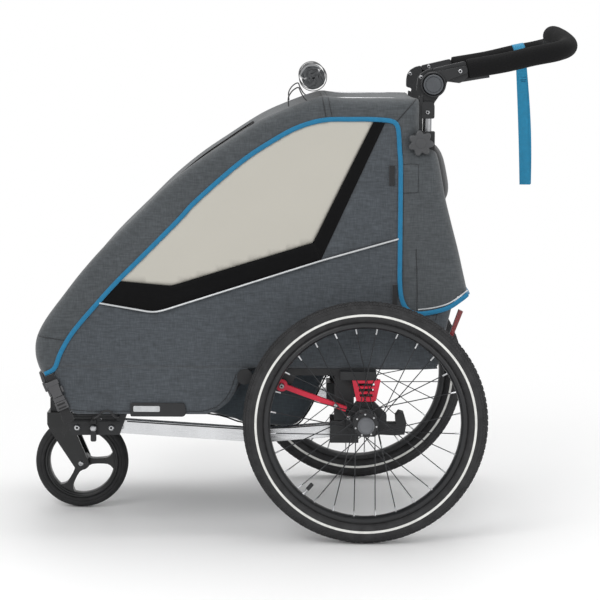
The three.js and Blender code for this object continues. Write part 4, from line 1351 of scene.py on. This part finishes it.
def add_front_straps():
    """Straps from the front cover's lip down to the crossbar, with a buckle seen on edge."""
    for hand, side in SIDES.items():
        line = spline([(-661, 0, 338), (-662, 0, 322), (-655, 0, 296), (-642, 0, 268), (-622, 0, 250),
                       (-598, 0, 243)], 5)
        web = Shape().tube([(q.x, side * 168, q.z) for q in line], (0.9, 12.5), 12, normal=(-1, 0, 0))
        web.make(f"nose_strap_{hand}", STRAP_BLACK, slot="black_fabric", sharp=60)
        block = Shape()
        for x0, z0, x1, z1, deep, wide in ((-668, 326, -661, 304, 7.5, 15),
                                           (-662, 303, -654, 284, 7.5, 14)):
            ahead = (Vector((x1, z1)) - Vector((x0, z0))).normalized()
            over = Vector((ahead.y, -ahead.x)) * deep / 2
            corners = [Vector((x0, z0)) - over, Vector((x0, z0)) + over, Vector((x1, z1)) + over,
                       Vector((x1, z1)) - over]
            block.prism([(q.x, q.y) for q in corners], side * 168 - wide, side * 168 + wide)
        block.make(f"nose_buckle_{hand}", BUCKLE, slot="plastic", bevel=1.6)


def add_clamp_guides():
    for hand, side in SIDES.items():
        guide = Shape().prism(soft_outline([(105.6, 822), (112.8, 822), (112.8, 897), (105.6, 899)], 2),
                              *sorted((side * 180, side * 205)))
        guide.make(f"clamp_guide_{hand}", PLASTIC, "rear_hoop", "plastic", bevel=1.0)


# ---- inside of the cabin ------------------------------------------------------------------------
def add_floor():
    """Footwell and seat base: one dark cloth that hangs from the base frame."""
    stations = [(-596, 257, 257), (-560, 256, 254), (-500, 256, 251), (-450, 256, 249), (-390, 256, 247),
                (-324, 256, 243), (-300, 263, 238), (-278, 282, 233), (-264, 303, 230), (-255, 332, 226),
                (-240, 347, 222), (-200, 348, 219), (-150, 348, 216), (-122, 348, 236), (-96, 348, 288),
                (-76, 348, 328), (-40, 348, 341), (40, 348, 342), (110, 348, 343), (147, 350, 346)]
    line = [(q.x, q.y, r.y) for q, r in zip(spline([(x, f, 0) for x, f, _ in stations], 3),
                                            spline([(x, b, 0) for x, _, b in stations], 3))]
    rows = []
    for x, flange, low in line:
        low = min(low, flange - 0.5)
        half = [(-(half_width(x, flange) - 1.5), flange), (-220, flange - 0.5), (-192, flange - 0.8)]
        for t in (0.25, 0.5, 0.75):
            half.append((-188 + 1.5 * t, flange + (low - flange) * t))
        half += [(-184, low + min(4, (flange - low) * 0.3)), (-178, low), (-120, low), (-60, low)]
        row = half + [(0, low)] + [(-y, z) for y, z in half[::-1]]
        rows.append([(x, y, z + ripple(x, y, z, 0.8)) for y, z in row])
    piece = Shape().grid(rows).make("floor_cloth", DARK, slot="dark_fabric", replaces=["floor_tub"],
                                    thick=1.4,
                                    sharp=60)
    declare_rows(piece, rows)
    SOFT.remove(piece)  # the floor stays with the base frame when the cabin folds
    piping = Shape()
    for side in (-1, 1):
        edge = [(-596, 253), (-560, 251), (-324, 240), (-247, 221), (-150, 214.5), (-118, 240), (-92, 292),
                (-74, 330)]
        piping.tube([(q.x, side * 187.5, q.y + 1.5) for q in spline([(x, z, 0) for x, z in edge], 5)], 1.6,
                    8)
    piping.make("floor_piping", BLACK_CLOTH, slot="black_fabric", sharp=60)


def stuffed(node, name, look, body, plane, cap, seams):
    """A stuffed pad in a node's box. plane names its thin axis; seams(u, v) is how far a channel pulls in."""
    low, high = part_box(node)
    mid, half = (low + high) / 2, (high - low) / 2
    thin = "XYZ".index(plane)
    across = [k for k in range(3) if k != thin]
    signed = lambda value, power: math.copysign(abs(value) ** power, value)
    rows = []
    for i in range(49):
        eta = math.pi * (i / 48 - 0.5)
        row = []
        for j in range(96):
            omega = 2 * math.pi * j / 96
            ring = signed(math.cos(eta), 0.32)
            q = [0.0, 0.0, 0.0]
            q[across[0]] = (half[across[0]] - 0.004) * ring * signed(math.cos(omega), 0.24)
            q[across[1]] = (half[across[1]] - 0.004) * ring * signed(math.sin(omega), 0.24)
            q[thin] = (half[thin] - 0.006) * signed(math.sin(eta), 0.55)
            row.append(Vector(q) + mid)
        rows.append(row)
    mesh = bpy.data.meshes.new(name)
    flat = [q for row in rows for q in row]
    faces = [[i * 96 + j, i * 96 + (j + 1) % 96, (i + 1) * 96 + (j + 1) % 96, (i + 1) * 96 + j]
             for i in range(48) for j in range(96)]
    mesh.from_pydata(flat, [], faces)
    obj = bpy.data.objects.new(name, mesh)
    scene = bpy.context.scene
    scene.collection.objects.link(obj)
    grid = obj.modifiers.new("remesh", "REMESH")
    grid.mode, grid.voxel_size = "VOXEL", 0.006
    bake(obj)
    rest = [v.co.copy() for v in obj.data.vertices]
    cloth = obj.modifiers.new("cloth", "CLOTH")
    cloth.settings.use_pressure, cloth.settings.uniform_pressure_force = True, 4.0
    cloth.settings.quality = 5
    cloth.settings.effector_weights.gravity = 0.0
    for step in range(1, 21):
        scene.frame_set(step)
    bake(obj)
    scene.frame_set(1)
    for v, home in zip(obj.data.vertices, rest):
        move = v.co - home
        v.co = home + move * min(1.0, cap * MM / max(move.length, 1e-9))
    smooth = obj.modifiers.new("finer", "SUBSURF")
    smooth.levels = smooth.render_levels = 1
    bake(obj)
    for v in obj.data.vertices:
        d = v.co - mid
        u, w = d[across[0]] / half[across[0]], d[across[1]] / half[across[1]]
        pull = seams(d[across[0]] / MM, d[across[1]] / MM) * max(0.0, 1 - max(abs(u), abs(w)) ** 8)
        d[thin] -= math.copysign(min(pull * MM, abs(d[thin]) * 0.6), d[thin])
        d[thin] *= min(1.0, 1.12 * half[thin] / max(abs(d[thin]), 1e-9))
        v.co = mid + d
    obj.data.materials.append(look)
    obj.data.polygons.foreach_set("use_smooth", [True] * len(obj.data.polygons))
    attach(obj, body)
    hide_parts(node)
    return obj


def bake(obj):
    """Applies an object's modifiers to its mesh."""
    graph = bpy.context.evaluated_depsgraph_get()
    made = bpy.data.meshes.new_from_object(obj.evaluated_get(graph))
    obj.modifiers.clear()
    obj.data = made


def channel(distance, wide=5.0, deep=5.0):
    return deep * math.exp(-(distance / wide) ** 2)


def add_seat():
    stuffed("seat_cushion", "seat_cushion_pad", DARK, "chassis", "Z", 8,
            lambda x, y: channel(x + 18) + channel(abs(y) - 92) + channel(x - 52, 4, 3))
    stuffed("backrest", "backrest_pad", LINING, BODY_OF["backrest"], "X", 8,
            lambda y, z: channel(abs(y) - 88) + channel(z - 70) * (abs(y) < 90)
              + channel(z + 60) * (abs(y) < 90))
    for node, thin, flat in (("seat_cushion", 2, (0, 1)), ("backrest", 0, (1, 2))):
        low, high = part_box(node)
        mid, half = (low + high) / 2 - Vector((AXLE, 0, 0)), (high - low) / 2
        ring = []
        for j in range(96):
            omega = 2 * math.pi * j / 96
            q = mid.copy()
            for k, wave in zip(flat, (math.cos(omega), math.sin(omega))):
                q[k] += (half[k] - 0.0035) * math.copysign(abs(wave) ** 0.24, wave)
            ring.append(q / MM)
        Shape().tube(even(ring, 8, closed=True), 2.0, 8, closed=True,
                     normal=(1, 0, 0) if thin == 0 else (0, 0, 1)) \
            .make(f"{node}_piping", BLACK_CLOTH, BODY_OF[node], "black_fabric", sharp=80)


def add_harness():
    body = BODY_OF["backrest"]
    for hand, side in SIDES.items():
        line = spline([(60, side * 56, 742), (51, side * 56, 738), (49, side * 55, 700),
                       (48, side * 50, 620),
                       (47, side * 40, 540), (40, side * 24, 470), (22, side * 10, 432)], 6)
        web = Shape().tube(line, (0.9, 11), 12, normal=(-1, 0, 0))
        web.make(f"shoulder_strap_{hand}", STRAP_BLACK, body, "black_fabric", sharp=60)
        sleeve = Shape().tube(line[6:24], lambda t: (4.2 * min(1, 8 * t + 0.3, 8 * (1 - t) + 0.3), 22), 20,
                              normal=(-1, 0, 0))
        pad = sleeve.make(f"shoulder_pad_{hand}", LINING, body, "dark_fabric", sharp=60)
        lap = spline([(54, side * 150, 392), (40, side * 120, 398), (26, side * 60, 412),
                      (17, side * 18, 420)], 6)
        web = Shape().tube(lap, (0.9, 11), 12, normal=(-0.4, 0, 1))
        web.make(f"lap_strap_{hand}", STRAP_BLACK, body, "black_fabric", sharp=60)
    clip = Shape().prism(soft_outline([(8, 402), (22, 400), (30, 436), (16, 440)], 5), -19, 19)
    clip.make("harness_buckle", BUCKLE, body, "plastic", bevel=3.0)
    crotch = Shape().tube(spline([(-14, 0, 366), (-4, 0, 378), (8, 0, 394), (15, 0, 404)], 5), (0.9, 11),
                          12,
                          normal=(-1, 0, 0.6))
    crotch.make("crotch_strap", STRAP_BLACK, "chassis", "black_fabric", sharp=60)


def add_batten():
    """The front arch under the cover: the CAD tube again, added to SOFT with the cloth pieces."""
    SOFT.append(refined("front_batten", BLACK_TUBE, 0.3))


def add_roll():
    """The rolled-up rain cover with its loops."""
    low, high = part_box("rain_cover_roll")
    mid = (low + high) / 2
    x0, z0, reach = (mid.x - AXLE) / MM, mid.z / MM, (high.x - low.x) / 2 / MM
    turns, count = 8.4, 320
    ends = [-204, -203, -150, -60, 40, 130, 203, 204]
    rows = []
    for k, y in enumerate(ends):
        row = []
        for j in range(count + 1):
            t = j / count
            a = 2 * math.pi * turns * t + 0.6
            wave = 0.9 * noise.noise(Vector((3 * math.cos(a), 3 * math.sin(a), 9 * t)))
            crease = 0.7 * math.sin(5 * a + 11 * t)
            r = 2.2 + (reach - 4.6) * t + (wave + crease) * min(1, 4 * t) * (0.8 if k in (0, 7) else 0.5)
            row.append((x0 + r * math.cos(a), y * (1 - 0.004 * math.sin(7 * t)),
                        z0 - 0.4 + r * 0.985 * math.sin(a)))
        rows.append(row)
    roll = Shape().grid(rows).make("rain_cover_film", ROLL_FILM, slot="grey_fabric",
                                   replaces=["rain_cover_roll"],
                                   thick=1.3, sharp=60)
    SOFT.append(roll)
    loops = Shape()
    for y in (-150, 0, 150):
        ring = [(x0 + (reach + 1.1) * math.cos(a), y, z0 + (reach + 1.1) * math.sin(a))
                for a in (2 * math.pi * k / 48 for k in range(48))]
        loops.tube(ring, (8, 0.8), 10, closed=True, normal=(0, 1, 0))
    for y in (-196, 196):
        arch = spline([(-158, y, 876), (-159, y, 893), (-151, y, 907), (-139, y, 914), (-134, y, 905),
                       (-127, y, 893),
                       (-119, y, 886)], 6)
        loops.tube(arch, (6, 1.4), 10, normal=(0, 1, 0))
    SOFT.append(loops.make("roll_loops", STRAP_BLACK, slot="black_fabric", sharp=60))

add_camera()
add_tether()
add_stage()
for hand in SIDES:
    add_wheel(hand)
add_caster()
add_front_brackets()
add_frame()
add_reflectors()
add_buckles()
add_handle()
add_wrist_strap()
add_front_straps()
add_clamp_guides()
add_floor()
add_seat()
add_harness()
add_batten()
add_roll()
add_side_panels()
front_rows, rear_rows = add_covers()
add_trim(front_rows, rear_rows)
add_vent()
finish_folds()
